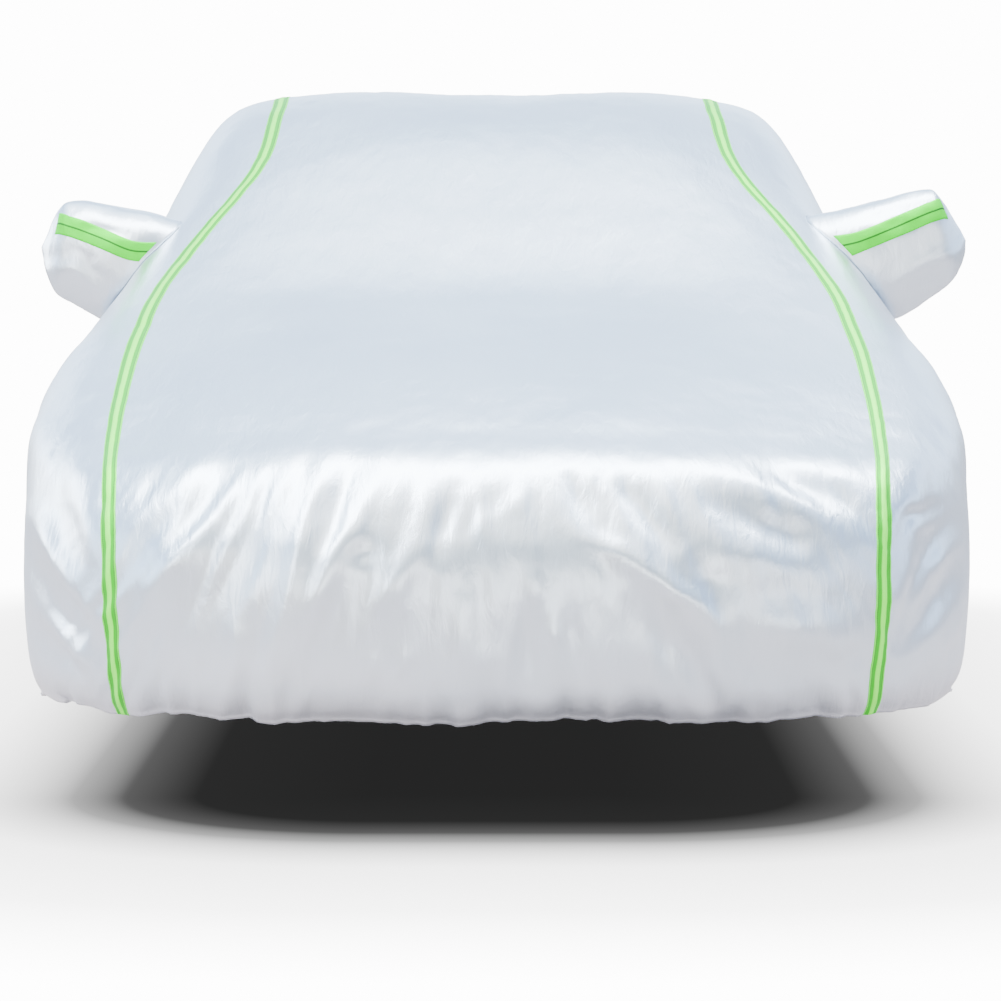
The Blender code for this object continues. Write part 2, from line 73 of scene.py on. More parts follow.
# form that the cloth hangs over: sections of one half from front to back, each point as x, y and z in mm
sectionColumns = ("centre", "seam", "edge", "belt", "flank", "hem")
sections = {
    "frontHem": (
        (0, -815, 247), (670, -600, 240), (742, -470, 235),
        (799, -335, 227), (845, -190, 219), (878, -40, 209),
    ),
    "chin": (
        (0, -848, 300), (675, -640, 298), (771, -475, 284),
        (837, -305, 267), (878, -120, 246), (886, 90, 200),
    ),
    "bumper": (
        (0, -862, 420), (681, -660, 416), (790, -485, 406),
        (866, -265, 387), (903, -30, 330), (888, 230, 190),
    ),
    "grille": (
        (0, -842, 560), (686, -635, 545), (800, -450, 533),
        (884, -200, 511), (912, 70, 420), (889, 380, 190),
    ),
    "nose": (
        (0, -745, 685), (693, -540, 653), (809, -345, 641),
        (893, -80, 610), (915, 190, 480), (890, 530, 190),
    ),
    "bonnetFront": (
        (0, -560, 748), (705, -350, 713), (822, -190, 705),
        (906, 50, 675), (919, 320, 520), (890, 680, 190),
    ),
    "bonnet": (
        (0, -200, 835), (712, -60, 800), (832, 60, 780),
        (913, 240, 722), (919, 480, 545), (890, 850, 190),
    ),
    "bonnetBack": (
        (0, 200, 915), (710, 250, 886), (820, 330, 864),
        (910, 470, 772), (919, 680, 560), (890, 1000, 190),
    ),
    "cowl": (
        (0, 520, 985), (690, 560, 980), (790, 620, 942),
        (893, 720, 810), (918, 900, 570), (890, 1150, 190),
    ),
    "windscreen": (
        (0, 820, 1130), (632, 810, 1078), (745, 850, 1035),
        (867, 920, 850), (916, 1060, 580), (890, 1280, 190),
    ),
    "windscreenTop": (
        (0, 1150, 1290), (525, 1150, 1232), (672, 1170, 1165),
        (845, 1200, 900), (915, 1290, 590), (890, 1430, 190),
    ),
    "header": (
        (0, 1500, 1383), (505, 1500, 1353), (642, 1500, 1295),
        (840, 1500, 945), (914, 1520, 595), (890, 1600, 190),
    ),
    "roof": (
        (0, 2000, 1413), (512, 2000, 1409), (656, 2000, 1352),
        (838, 2000, 975), (916, 2000, 600), (890, 2000, 190),
    ),
    "roofBack": (
        (0, 2500, 1395), (500, 2500, 1376), (632, 2500, 1322),
        (834, 2480, 975), (915, 2450, 605), (890, 2400, 190),
    ),
    "rearWindow": (
        (0, 3000, 1240), (510, 2990, 1190), (650, 2950, 1130),
        (834, 2880, 930), (912, 2800, 590), (888, 2680, 190),
    ),
    "bootFront": (
        (0, 3320, 1085), (565, 3310, 1055), (712, 3250, 1005),
        (846, 3150, 870), (908, 3030, 570), (885, 2880, 190),
    ),
    "bootEdge": (
        (0, 3690, 1015), (620, 3600, 985), (752, 3480, 935),
        (845, 3320, 800), (895, 3180, 530), (880, 3040, 192),
    ),
    "tail": (
        (0, 3800, 860), (640, 3690, 830), (762, 3540, 780),
        (840, 3370, 660), (882, 3240, 450), (876, 3120, 196),
    ),
    "rearBumper": (
        (0, 3830, 560), (650, 3700, 540), (762, 3550, 500),
        (828, 3410, 430), (868, 3290, 330), (872, 3190, 204),
    ),
    "rearHem": (
        (0, 3780, 270), (640, 3650, 265), (730, 3550, 250),
        (790, 3450, 240), (835, 3360, 228), (866, 3260, 214),
    ),
}
crown = (1.3, 1.7)  # fullness of the middle panel, in the middle and at the seams


def slopes(points, knots):
    step = np.diff(knots, axis=0)
    rise = np.diff(points, axis=0) / step
    middle = (rise[:-1] * step[1:] + rise[1:] * step[:-1]) / (step[:-1] + step[1:])
    return np.concatenate((rise[:1], middle, rise[-1:]))


def hermite(start, end, startSlope, endSlope, length, t):
    blend = 3 * t**2 - 2 * t**3
    leanIn = t - 2 * t**2 + t**3
    leanOut = t**3 - t**2
    return start * (1 - blend) + end * blend + length * (startSlope * leanIn + endSlope * leanOut)


table = np.array(list(sections.values()), float) * mm
sectionNames = list(sections)
spacing = np.linalg.norm(np.diff(table, axis=0), axis=2).mean(axis=1)
knots = np.concatenate(((0.0,), np.cumsum(spacing)))
alongSlopes = slopes(table, knots[:, None, None])
lastColumn = len(sectionColumns) - 1
probeStep = 0.004  # how far apart two places are whose difference gives a slope


def sectionPoints(along):
    bay = np.clip(np.searchsorted(knots, along, side="right") - 1, 0, len(knots) - 2)
    length = (knots[bay + 1] - knots[bay])[:, None, None]
    t = (along - knots[bay])[:, None, None] / length
    return hermite(table[bay], table[bay + 1], alongSlopes[bay], alongSlopes[bay + 1], length, t)


# along is in metres from the front hem; across is 0 in the middle, 1 at the seam and 5 at the hem,
# and below 0 on the left
def bodyPoints(along, across):
    named = sectionPoints(along)
    rows = np.arange(len(along))
    line = np.concatenate(((named[:, 1] * (-1, 1, 1))[:, None], named), axis=1)
    pace = np.sqrt(np.linalg.norm(np.diff(line, axis=1), axis=2))
    runs = np.concatenate((np.zeros((len(along), 1)), np.cumsum(pace, axis=1)), axis=1)
    lean = np.moveaxis(slopes(np.moveaxis(line, 1, 0), runs.T[:, :, None]), 0, 1)
    place = np.abs(across)
    bay = np.clip(place.astype(int), 0, lastColumn - 1)
    first, second = bay + 1, bay + 2
    middle = (bay == 0)[:, None]
    startLean = lean[rows, first] * np.where(middle, crown[0], 1)
    endLean = lean[rows, second] * np.where(middle, crown[1], 1)
    ends = line[rows, first], line[rows, second]
    points = hermite(*ends, startLean, endLean, pace[rows, first][:, None], (place - bay)[:, None])
    points[:, 0] *= np.where(across < 0, -1, 1)
    return points


def bodyNormals(along, across):
    back, ahead = np.clip(along - probeStep, 0, knots[-1]), np.clip(along + probeStep, 0, knots[-1])
    left = np.clip(across - probeStep, -lastColumn, lastColumn)
    right = np.clip(across + probeStep, -lastColumn, lastColumn)
    lengthways = bodyPoints(ahead, across) - bodyPoints(back, across)
    crossways = bodyPoints(along, right) - bodyPoints(along, left)
    found = np.cross(crossways, lengthways)
    return found / np.linalg.norm(found, axis=1)[:, None]


views = {  # the two axes seen, and the direction towards the viewer
    "front": ((0, 2), (0, -1, 0)),
    "back": ((0, 2), (0, 1, 0)),
    "left": ((1, 2), (-1, 0, 0)),
    "right": ((1, 2), (1, 0, 0)),
}
# broad folds, the same as in the solids, grouped by the view in which they are measured, in mm:
# start, end, reach of a slope and height (a trough is below 0)
broadFolds = {
    "front": (
        ((-437, 710), (-573, 510), 62, -11),
        ((-480, 620), (-625, 440), 58, 11),
        ((-370, 675), (-532, 350), 66, -12),
        ((-310, 640), (-392, 270), 62, 12),
        ((-238, 715), (-300, 520), 56, -11),
        ((-228, 690), (-335, 370), 58, 12),
        ((-120, 610), (-195, 420), 60, 8),
        ((-62, 690), (-105, 500), 52, -8),
        ((-45, 500), (-68, 270), 60, 7),
        ((40, 480), (64, 270), 60, -8),
        ((118, 700), (185, 570), 56, -9),
        ((165, 590), (395, 360), 66, 14),
        ((240, 510), (388, 250), 60, -12),
        ((199, 690), (330, 530), 58, -11),
        ((330, 640), (575, 540), 66, -11),
        ((430, 430), (665, 385), 66, 9),
        ((440, 720), (660, 600), 60, -11),
        ((-908, 520), (-710, 345), 56, -14),
        ((-890, 600), (-735, 420), 60, 11),
        ((-880, 390), (-750, 265), 50, -11),
        ((885, 575), (722, 520), 56, -12),
        ((880, 520), (700, 330), 56, -15),
        ((900, 440), (730, 285), 56, 11),
    ),
    "left": (
        ((760, 800), (1180, 300), 120, 12),
        ((1010, 820), (1500, 330), 110, -14),
        ((1420, 1120), (1800, 420), 130, 10),
        ((2250, 1150), (2050, 330), 120, -12),
        ((2750, 900), (2420, 260), 110, 12),
        ((3150, 760), (2800, 280), 100, -12),
    ),
    "right": (
        ((720, 780), (1080, 280), 120, -13),
        ((980, 830), (1380, 300), 110, 12),
        ((1500, 1150), (1750, 360), 130, -12),
        ((2100, 1100), (2060, 300), 120, 11),
        ((2600, 960), (2330, 280), 110, -12),
        ((3080, 800), (2760, 260), 100, 11),
    ),
    "back": (
        ((-420, 830), (-540, 360), 80, -9),
        ((-230, 860), (-290, 330), 80, 9),
        ((40, 820), (20, 300), 90, -8),
        ((250, 850), (330, 340), 80, 9),
        ((450, 830), (580, 380), 80, -9),
    ),
}
foldShape = {
    "ends": (0.06, 0.94),  # the shares of its length between which a fold rises and falls
    "turnAway": 2.5,  # how fast it fades where the cloth turns away from the view
}


def broadFoldHeight(points, facing):
    total = np.zeros(len(points))
    for view, folds in broadFolds.items():
        axes, direction = views[view]
        toward = np.clip(facing @ direction * foldShape["turnAway"], 0, 1)
        for start, end, reach, height in folds:
            start, run = np.array(start) * mm, (np.array(end) - start) * mm
            seen = points[:, axes] - start
            share = np.clip(seen @ run / (run @ run), 0, 1)
            away = np.linalg.norm(seen - share[:, None] * run, axis=1) / (reach * mm)
            slope = np.cos(pi / 2 * np.minimum(away, 1)) ** 2
            fade = np.sin(pi * np.clip(share, *foldShape["ends"]))
            total += height * mm * slope * fade * toward
    return total


# creases given one by one, grouped by view, in mm: half width, height and the points along it.
# "camera" is the view from the photograph's camera, measured on the upright plane at the nose.
creases = {
    "camera": (
        (20, -5, ((-430, 715), (-485, 665), (-525, 600), (-580, 505))),
        (16, 4, ((-485, 615), (-520, 565), (-570, 505), (-605, 475))),
        (20, -5, ((-380, 670), (-430, 635), (-460, 600), (-500, 530), (-525, 390))),
        (18, -5, ((-310, 715), (-335, 665), (-360, 600))),
        (18, 5, ((-315, 615), (-330, 530), (-360, 410), (-390, 325))),
        (20, -6, ((-240, 710), (-260, 665), (-295, 565), (-320, 510))),
        (16, 8, ((-235, 665), (-250, 580), (-295, 485), (-330, 400), (-345, 330))),
        (16, -5, ((-190, 540), (-245, 540), (-275, 510))),
        (20, 4, ((-125, 580), (-140, 530), (-190, 460))),
        (18, -5, ((-70, 650), (-100, 555))),
        (16, 5, ((-60, 635), (-90, 530), (-100, 460))),
        (14, -5, ((-30, 650), (-65, 555))),
        (14, -4, ((0, 660), (-10, 600))),
        (18, 4, ((-450, 420), (-440, 375), (-460, 305))),
        (14, 4, ((-210, 375), (-215, 325))),
        (14, 4, ((-150, 375), (-175, 325))),
        (9, 3, ((-65, 460), (-65, 325))),
        (14, 4, ((35, 650), (35, 600))),
        (18, -5, ((50, 460), (60, 375), (65, 305))),
        (16, 4, ((65, 510), (75, 445))),
        (16, 4, ((90, 425), (100, 375))),
        (18, -5, ((120, 695), (145, 650), (180, 600))),
        (16, 6, ((130, 590), (160, 565), (210, 540), (290, 480), (350, 445), (395, 375))),
        (18, -5, ((210, 520), (265, 480), (315, 390), (350, 340), (370, 290), (385, 255))),
        (14, -4, ((180, 700), (185, 650))),
        (18, -6, ((205, 665), (245, 640), (270, 600), (325, 540))),
        (24, -7, ((330, 635), (400, 625), (505, 575), (555, 555))),
        (22, -7, ((435, 720), (485, 695), (540, 665), (640, 615))),
        (18, 5, ((450, 716), (520, 700), (575, 685))),
        (20, -4, ((350, 510), (400, 480))),
        (30, 4, ((200, 610), (300, 490), (420, 420), (540, 395), (640, 385))),
        (18, -3, ((300, 420), (420, 350), (500, 325))),
        (18, -5, ((640, 375), (605, 350), (590, 315))),
        (16, -5, ((-750, 635), (-735, 590), (-705, 495))),
        (11, -8, ((-800, 580), (-765, 520), (-740, 460), (-715, 425), (-690, 385))),
        (12, 6, ((-790, 615), (-760, 530), (-740, 480))),
        (11, -5, ((-780, 460), (-750, 420), (-730, 415))),
        (14, 6, ((-760, 410), (-715, 360), (-690, 325))),
        (11, -6, ((-775, 410), (-750, 360), (-715, 325))),
        (12, -3, ((-705, 890), (-665, 925))),
        (12, -3, ((-715, 805), (-685, 830))),
        (13, -8, ((775, 635), (735, 610), (715, 605), (695, 555))),
        (13, -9, ((770, 565), (745, 530), (720, 470), (680, 375))),
        (10, -5, ((790, 460), (755, 390), (695, 325))),
        (10, -5, ((795, 445), (760, 375), (730, 325))),
        (10, -4, ((780, 390), (780, 360))),
        (40, -5, ((145, 865), (350, 830), (520, 785))),
        (24, -5, ((460, 1270), (520, 1200), (575, 1130))),
        (14, 4, ((475, 1255), (530, 1190), (565, 1115))),
        (16, -4, ((-470, 1265), (-515, 1190), (-560, 1120))),
    ),
    "left": (
        (30, -8, ((820, 760), (980, 560), (1120, 380))),
        (26, 7, ((900, 800), (1060, 640), (1260, 400), (1380, 300))),
        (24, -7, ((600, 700), (700, 520), (830, 360))),
        (26, -7, ((1240, 900), (1400, 700), (1620, 420))),
        (24, 6, ((1700, 1150), (1760, 900), (1800, 640))),
        (26, -7, ((1950, 700), (1930, 480), (1960, 270))),
        (26, 7, ((2330, 900), (2260, 640), (2200, 340))),
        (24, -6, ((2600, 1050), (2520, 820), (2440, 560))),
        (24, 6, ((2900, 700), (2780, 520), (2700, 300))),
        (22, -6, ((3250, 640), (3120, 480), (3060, 330))),
        (20, 5, ((200, 600), (260, 460), (360, 320))),
    ),
    "right": (
        (28, 7, ((760, 740), (900, 560), (1060, 360))),
        (26, -8, ((880, 820), (1060, 600), (1240, 340))),
        (24, 6, ((560, 660), (660, 500), (760, 340))),
        (24, -6, ((1280, 980), (1420, 760), (1560, 480))),
        (26, 7, ((1640, 1100), (1700, 820), (1690, 520))),
        (26, -7, ((1900, 820), (1930, 560), (1900, 300))),
        (24, 6, ((2240, 1120), (2200, 860), (2230, 600))),
        (26, -7, ((2420, 760), (2340, 520), (2300, 280))),
        (24, 6, ((2820, 900), (2700, 640), (2600, 380))),
        (22, -6, ((3180, 720), (3040, 500), (2960, 300))),
        (18, -5, ((240, 560), (300, 430), (400, 300))),
    ),
    "back": (
        (24, -6, ((-520, 780), (-560, 600), (-620, 380))),
        (24, 6, ((-350, 820), (-380, 600), (-420, 360))),
        (22, -6, ((-130, 760), (-150, 520), (-190, 320))),
        (22, 5, ((120, 800), (140, 560), (130, 320))),
        (24, -6, ((330, 800), (400, 580), (440, 340))),
        (22, 6, ((540, 760), (600, 560), (640, 380))),
    ),
}
creaseShape = {
    "steps": 6,  # of its curve, between two of its points
    "reach": 4,  # half widths
    "ends": (0.04, 0.96),
    "taper": 0.8,  # power of its rise and fall between the ends; less is fuller
    "shoulders": ((0.35, 1.9), (0.2, -2.1)),  # share of the height, and how many half widths beside the crease
}


def seenFromCamera(points):
    ahead, height = photoView["ahead"], photoView["height"]
    share = (ahead - photoView["nosePlane"]) / (ahead + points[:, 1])
    return np.stack((points[:, 0] * share, height + (points[:, 2] - height) * share), axis=1)


def smoothLine(corners):
    corners = np.array(corners, float) * mm
    steps = creaseShape["steps"]
    if len(corners) == 2:
        return np.linspace(corners[0], corners[1], steps)
    lean = slopes(corners, np.arange(len(corners), dtype=float)[:, None])
    t = (np.arange(steps) / steps)[:, None]
    bays = [hermite(corners[i], corners[i + 1], lean[i], lean[i + 1], 1, t) for i in range(len(corners) - 1)]
    return np.concatenate((*bays, corners[-1:]))


def besideLine(seen, line):  # distance from a curve, with a sign for the side, and how far along it that is
    best = np.full(len(seen), np.inf)
    side, share = np.zeros(len(seen)), np.zeros(len(seen))
    for i in range(len(line) - 1):
        run = line[i + 1] - line[i]
        offset = seen - line[i]
        t = np.clip(offset @ run / (run @ run), 0, 1)
        rest = offset - t[:, None] * run
        away = np.linalg.norm(rest, axis=1)
        closer = away < best
        best[closer] = away[closer]
        turn = run[0] * rest[:, 1] - run[1] * rest[:, 0]
        side[closer] = np.sign(turn[closer])
        share[closer] = ((i + t) / (len(line) - 1))[closer]
    return best * side, share


def creaseHeight(points, facing):
    total = np.zeros(len(points))
    for view, lines in creases.items():
        axes, direction = views["front" if view == "camera" else view]
        seen = seenFromCamera(points) if view == "camera" else points[:, axes]
        toward = np.clip(facing @ direction * foldShape["turnAway"], 0, 1)
        for width, height, corners in lines:
            line = smoothLine(corners)
            margin = creaseShape["reach"] * width * mm
            near = np.all((seen > line.min(axis=0) - margin) & (seen < line.max(axis=0) + margin), axis=1)
            near &= toward > 0
            if not near.any():
                continue
            away, share = besideLine(seen[near], line)
            away /= width * mm
            profile = np.exp(-(away**2))
            for part, place in creaseShape["shoulders"]:
                profile -= part * np.exp(-((away - place) ** 2))
            fade = np.sin(pi * np.clip(share, *creaseShape["ends"])) ** creaseShape["taper"]
            total[near] += height * mm * profile * fade * toward[near]
    return total


# small unevenness of the cloth, in metres
unevenness = {
    "sizes": ((1.4, 0.006, 2), (5.5, 0.0022, 3), (21.0, 0.00055, 2)),  # turns per metre, height and octaves
    "stretch": (0.55, 1.0, 1.6),  # how long its waves are across, along and down the cover
    "fractal": (0.8, 2.0),
}
seamPuckers = {
    "pitch": 0.026,
    "height": 0.0009,
    "reach": 0.028,
    "widths": (0.65, 0.15),  # of the cloth in a step of across, inside the seam and outside it
    "leftShift": 400,  # the left seam takes another stretch of the random line
    "seed": 5,
}
hem = {
    "band": (0.19, 0.42),  # height of the full waves and of where they end
    "waves": ((0.43, 0.0048), (0.71, 0.0036)),  # length and rise
    "sideLevel": 0.2,  # height of the hem along a side
    "sideFrom": 3.0,  # across, past which the cloth belongs to a side's hem
    "backFrom": 1,  # along, past which it belongs to the back's hem
    "evenness": (0.35, 2),  # share of the unevenness at the edge, and what each metre above adds
    "gatherPitch": 0.04,
    "gather": 0.0095,
    "gatherReach": (0.058, 0.6, 0.11),  # how far up, by what share that changes, and over what length
    "fineGather": (0.5, 2.3),  # share of the height, and how much closer
    "scallop": (0.0022, 0.03),  # height, and how far up it goes
    "fade": 1.5,  # power of the fade up from the edge
    "seeds": (11, 12, 13),  # of the gathers, the finer ones and their reach
    "shifts": ((0, 7), (17, 29)),  # along the random line: for the front and the back, the left and the right
    "turnRadius": 0.005,
    "turnSteps": 4,
    "turnAngle": radians(230),
    "corner": 0.13,  # the cloth grows calm within this of where the front hem meets the side's
    "around": ((0, 1.49), (0.89, 2.33)),  # middle and half size of the hem's outline
    "drawnIn": (0.0065, 0.02),  # how far the elastic pulls the edge in, and how far up
}
pleats = {  # fine creases that fan out down the front and the back from the edge above
    "turns": (27, 4.5),  # per metre, across and down
    "height": 0.0032,
    "top": (0.76, 0.14),  # height where they start, and the drop over which they grow
    "fan": 1.2,  # share by which they widen in a metre down
    "facing": (2, 0.35),  # how steeply they come in, and from where, as the cloth turns to the front
    "fine": (0.4, 2),  # share and closeness of the finer ones
    "sharpness": 2.6,  # how steeply they fall away from their crests
}


def randomLine(places, seed):  # smooth random values between -1 and 1 along a line
    values = np.random.default_rng(seed).uniform(-1, 1, 1024)
    whole = np.floor(places).astype(int)
    t = places - whole
    t = t * t * (3 - 2 * t)
    return values[whole % len(values)] * (1 - t) + values[(whole + 1) % len(values)] * t


def pleatHeight(points, facing):
    top, growth = pleats["top"]
    gain, start = pleats["facing"]
    part, closer = pleats["fine"]
    drop = top - points[:, 2]
    weight = np.clip(np.abs(facing[:, 1]) * gain - start, 0, 1) * np.clip(drop / growth, 0, 1)
    near = weight > 0
    across = points[near, 0] / (1 + pleats["fan"] * np.maximum(drop[near], 0)) * pleats["turns"][0]
    places = np.stack((across, points[near, 2] * pleats["turns"][1], np.sign(points[near, 1])), axis=1)
    ridges = np.array([
        abs(noise.noise(Vector(p))) + part * abs(noise.noise(Vector(p) * closer)) for p in places
    ])
    height = np.zeros(len(points))
    height[near] = pleats["height"] * weight[near] * (1 - pleats["sharpness"] * ridges)
    return height


def noiseHeight(points):
    total = np.zeros(len(points))
    for turns, height, octaves in unevenness["sizes"]:
        scaled = points / unevenness["stretch"] * turns
        total += height * np.array([noise.fractal(Vector(p), *unevenness["fractal"], octaves) for p in scaled])
    return total


def fadeUp(up, reach):
    return np.exp(-((up / reach) ** hem["fade"]))


# distance up the cloth from the hem, the gathers and scallops there, and the share of them that is kept near
# the corners, where the normals of the cloth are unsure
def hemGathers(along, across, points):
    far, tiny = 9.0, 0.001  # the middle panel is far from a side's hem
    ends = np.minimum(along, knots[-1] - along)
    rise = np.where(np.abs(across) > hem["sideFrom"], np.maximum(points[:, 2] - hem["sideLevel"], 0), far)
    (front, back), (left, right) = hem["shifts"]
    frontPlace = points[:, 0] + np.where(along < hem["backFrom"], front, back)
    sidePlace = points[:, 1] + np.where(across < 0, left, right)
    shares = (rise + tiny) / (ends + rise + 2 * tiny), (ends + tiny) / (ends + rise + 2 * tiny)
    part, closer = hem["fineGather"]
    coarse, fine, changing = hem["seeds"]
    middleReach, change, changeLength = hem["gatherReach"]
    scallopRise, scallopReach = hem["scallop"]
    height, scallop = np.zeros(len(points)), np.zeros(len(points))
    for place, up, share in zip((frontPlace, sidePlace), (ends, rise), shares):
        pitched = place / hem["gatherPitch"]
        gathers = randomLine(pitched, coarse) + part * randomLine(pitched * closer, fine)
        reach = middleReach * (1 + change * randomLine(place / changeLength, changing))
        height += share * hem["gather"] * gathers * fadeUp(up, reach)
        scallop += share * scallopRise * gathers * np.exp(-up / scallopReach)
    calm = np.clip(np.hypot(ends, rise) / hem["corner"], 0, 1) ** 2
    return np.minimum(ends, rise), height, scallop, calm


def seamPuckerHeight(along, across):
    shift = np.where(across < 0, seamPuckers["leftShift"], 0)
    puckers = randomLine(along / seamPuckers["pitch"] + shift, seamPuckers["seed"])
    fromSeam = np.abs(np.abs(across) - 1) * np.where(np.abs(across) < 1, *seamPuckers["widths"])
    return seamPuckers["height"] * puckers * np.exp(-fromSeam / seamPuckers["reach"])


def clothPoints(along, across):
    points = bodyPoints(along, across)
    facing = bodyNormals(along, across)
    height = broadFoldHeight(points, facing) + creaseHeight(points, facing) + pleatHeight(points, facing)
    up, gathers, scallop, calm = hemGathers(along, across, points)
    least, growth = hem["evenness"]
    height += noiseHeight(points) * np.clip(least + up * growth, 0, 1)
    height += seamPuckerHeight(along, across)
    drawn, reach = hem["drawnIn"]
    height += gathers - drawn * fadeUp(up, reach)
    moved = points + facing * (height * calm)[:, None]
    low, high = hem["band"]
    nearHem = np.clip((high - points[:, 2]) / (high - low), 0, 1) ** 2
    for length, rise in hem["waves"]:
        moved[:, 2] += rise * nearHem * np.sin(2 * pi * (points[:, 0] - points[:, 1]) / length)
    moved[:, 2] += scallop * calm
    return moved, facing


# sheets: grids of places along and across the cover
grids = {
    "rows": (("bonnet", 0.0092), ("header", 0.0165), ("rearHem", 0.024)),  # spacing up to each section named
    "centreColumns": 72,  # in half of the middle panel
    "sideColumns": 76,
    "tapeSide": 0.018,  # half the width of the tape over the seam
    "underTape": (0.33, 0.66),  # columns under it, as shares of that
    "gap": 0.0003,
    "fineSteps": 40,  # in a step of across, where distances over the cloth are measured
    "cloth": 0.0012,  # thickness
}


def rowPlaces():
    places = []
    for bay, length in enumerate(spacing):
        pitch = next(pitch for name, pitch in grids["rows"] if bay < sectionNames.index(name))
        count = max(2, round(length / pitch))
        places.extend(knots[bay] + length * np.arange(count) / count)
    return np.array(places + [knots[-1]])


rowsAlong = rowPlaces()
fineAcross = np.linspace(0, lastColumn, grids["fineSteps"] * lastColumn + 1)


def runAcross(rowAt):  # distance over the cloth from the middle line
    points = bodyPoints(np.full(len(fineAcross), rowAt), fineAcross)
    return np.concatenate(((0,), np.cumsum(np.linalg.norm(np.diff(points, axis=0), axis=1))))


acrossRuns = [runAcross(rowAt) for rowAt in rowsAlong]


def gridPlaces(distances, side=1):  # places of every vertex of a sheet, the columns from left to right
    across = [np.interp(distances(run[grids["fineSteps"]], run[-1]), run, fineAcross) for run in acrossRuns]
    across = side * np.array(across)
    return np.repeat(rowsAlong[:, None], across.shape[1], axis=1), across[:, ::side]


def centreDistances(toSeam, toHem):
    half = np.linspace(0, toSeam - grids["tapeSide"], grids["centreColumns"] + 1)
    under = toSeam - grids["tapeSide"] * np.array(grids["underTape"][::-1])
    return np.concatenate((half, under, (toSeam - grids["gap"] / 2,)))


def sideDistances(toSeam, toHem):
    under = toSeam + grids["tapeSide"] * np.array(grids["underTape"])
    rest = np.linspace(toSeam + grids["tapeSide"], toHem, grids["sideColumns"] + 1)
    return np.concatenate(((toSeam + grids["gap"] / 2,), under, rest))


# adds the rows and columns that turn under at the hem, and says how far each has turned
def turnUnder(along, across, hemSide=0):
    steps = hem["turnSteps"]
    columns = {0: (0, 0), 1: (0, steps), -1: (steps, 0)}[hemSide]
    middleRow = (along.shape[0] - 1) / 2
    rows = np.maximum(np.abs(np.arange(-steps, along.shape[0] + steps) - middleRow) - middleRow, 0)
    cols = np.zeros(along.shape[1] + sum(columns))
    if hemSide == 1:
        cols[-steps:] = np.arange(1, steps + 1)
    if hemSide == -1:
        cols[:steps] = np.arange(steps, 0, -1)
    turned = np.maximum(rows[:, None], cols[None, :])
    corner = (rows[:, None] > 0) & (cols[None, :] > 0)
    pad = ((steps, steps), columns)
    return np.pad(along, pad, mode="edge"), np.pad(across, pad, mode="edge"), turned, corner


def turnOffset(turned, points):
    angle = turned / hem["turnSteps"] * hem["turnAngle"]
    middle, half = hem["around"]
    inward = -(((points[:, :2] - middle) / half) ** 3) / half
    inward = np.pad(inward / np.linalg.norm(inward, axis=1)[:, None], ((0, 0), (0, 1)))
    down = np.array((0, 0, -1))
    return hem["turnRadius"] * (np.sin(angle)[:, None] * down + (1 - np.cos(angle))[:, None] * inward)


def gridObject(name, points, uv, keep, thickness):
    rows, columns = keep.shape
    index = np.arange((rows + 1) * (columns + 1)).reshape(rows + 1, columns + 1)
    quads = np.stack((index[:-1, :-1], index[:-1, 1:], index[1:, 1:], index[1:, :-1]), axis=-1)[keep]
    used = np.unique(quads)
    lookup = np.full(index.size, -1)
    lookup[used] = np.arange(len(used))
    data = bpy.data.meshes.new(name)
    data.from_pydata((points[used] - heldAt).tolist(), [], lookup[quads].tolist())
    layer = data.uv_layers.new(name="clothUv")
    layer.data.foreach_set("uv", uv[used][lookup[quads].ravel()].ravel())
    data.shade_smooth()
    piece = bpy.data.objects.new(name, data)
    bpy.context.scene.collection.objects.link(piece)
    solid = piece.modifiers.new("thickness", "SOLIDIFY")
    solid.thickness = thickness
    solid.offset = -1
    return piece


def clothSheet(
    name, along, across, turned, corner, keep=None, lift=0.0, thickness=grids["cloth"], uvAcross=None,
):
    flat = [values.ravel() for values in (along, across, turned)]
    points, facing = clothPoints(flat[0], flat[1])
    points += turnOffset(flat[2], points)
    lifted = lift if np.ndim(lift) == 0 else np.tile(lift, along.shape[0])[:, None]
    points += facing * lifted
    if uvAcross is None:
        steps = np.linalg.norm(np.diff(points.reshape(*along.shape, 3), axis=1), axis=2)
        u = np.pad(np.cumsum(steps, axis=1), ((0, 0), (1, 0)))
    else:
        u = np.tile(uvAcross, (along.shape[0], 1))
    cells = ~(corner[:-1, :-1] & corner[1:, 1:])
    if keep is not None:
        cells &= keep
    return gridObject(name, points, np.stack((u.ravel(), flat[0]), axis=1), cells, thickness)


# mirror pockets: mouth in the side panel, then ovals out to the tip, in mm
pocketTable = {
    "left": {
        "mouth": {"y": 1000, "z": 1006, "halfDepth": 128, "halfHeight": 108},
        "ovals": (  # top and bottom as x and z, middle y, half depth, tape's middle below the top
            ((744, 1132), (862, 902), 990, 120, 90),
            ((822, 1146), (912, 930), 985, 104, 73),
            ((904, 1158), (952, 956), 980, 82, 57),
            ((946, 1138), (974, 998), 976, 46, 34),
        ),
        "tip": (985, 976, 1058),
    },
    "right": {
        "mouth": {"y": 1000, "z": 1012, "halfDepth": 128, "halfHeight": 110},
        "ovals": (
            ((748, 1140), (872, 904), 990, 120, 77),
            ((836, 1162), (938, 944), 985, 104, 64),
            ((922, 1184), (988, 984), 980, 82, 52),
            ((960, 1167), (1010, 1022), 976, 46, 34),
        ),
        "tip": (1018, 976, 1072),
    },
}
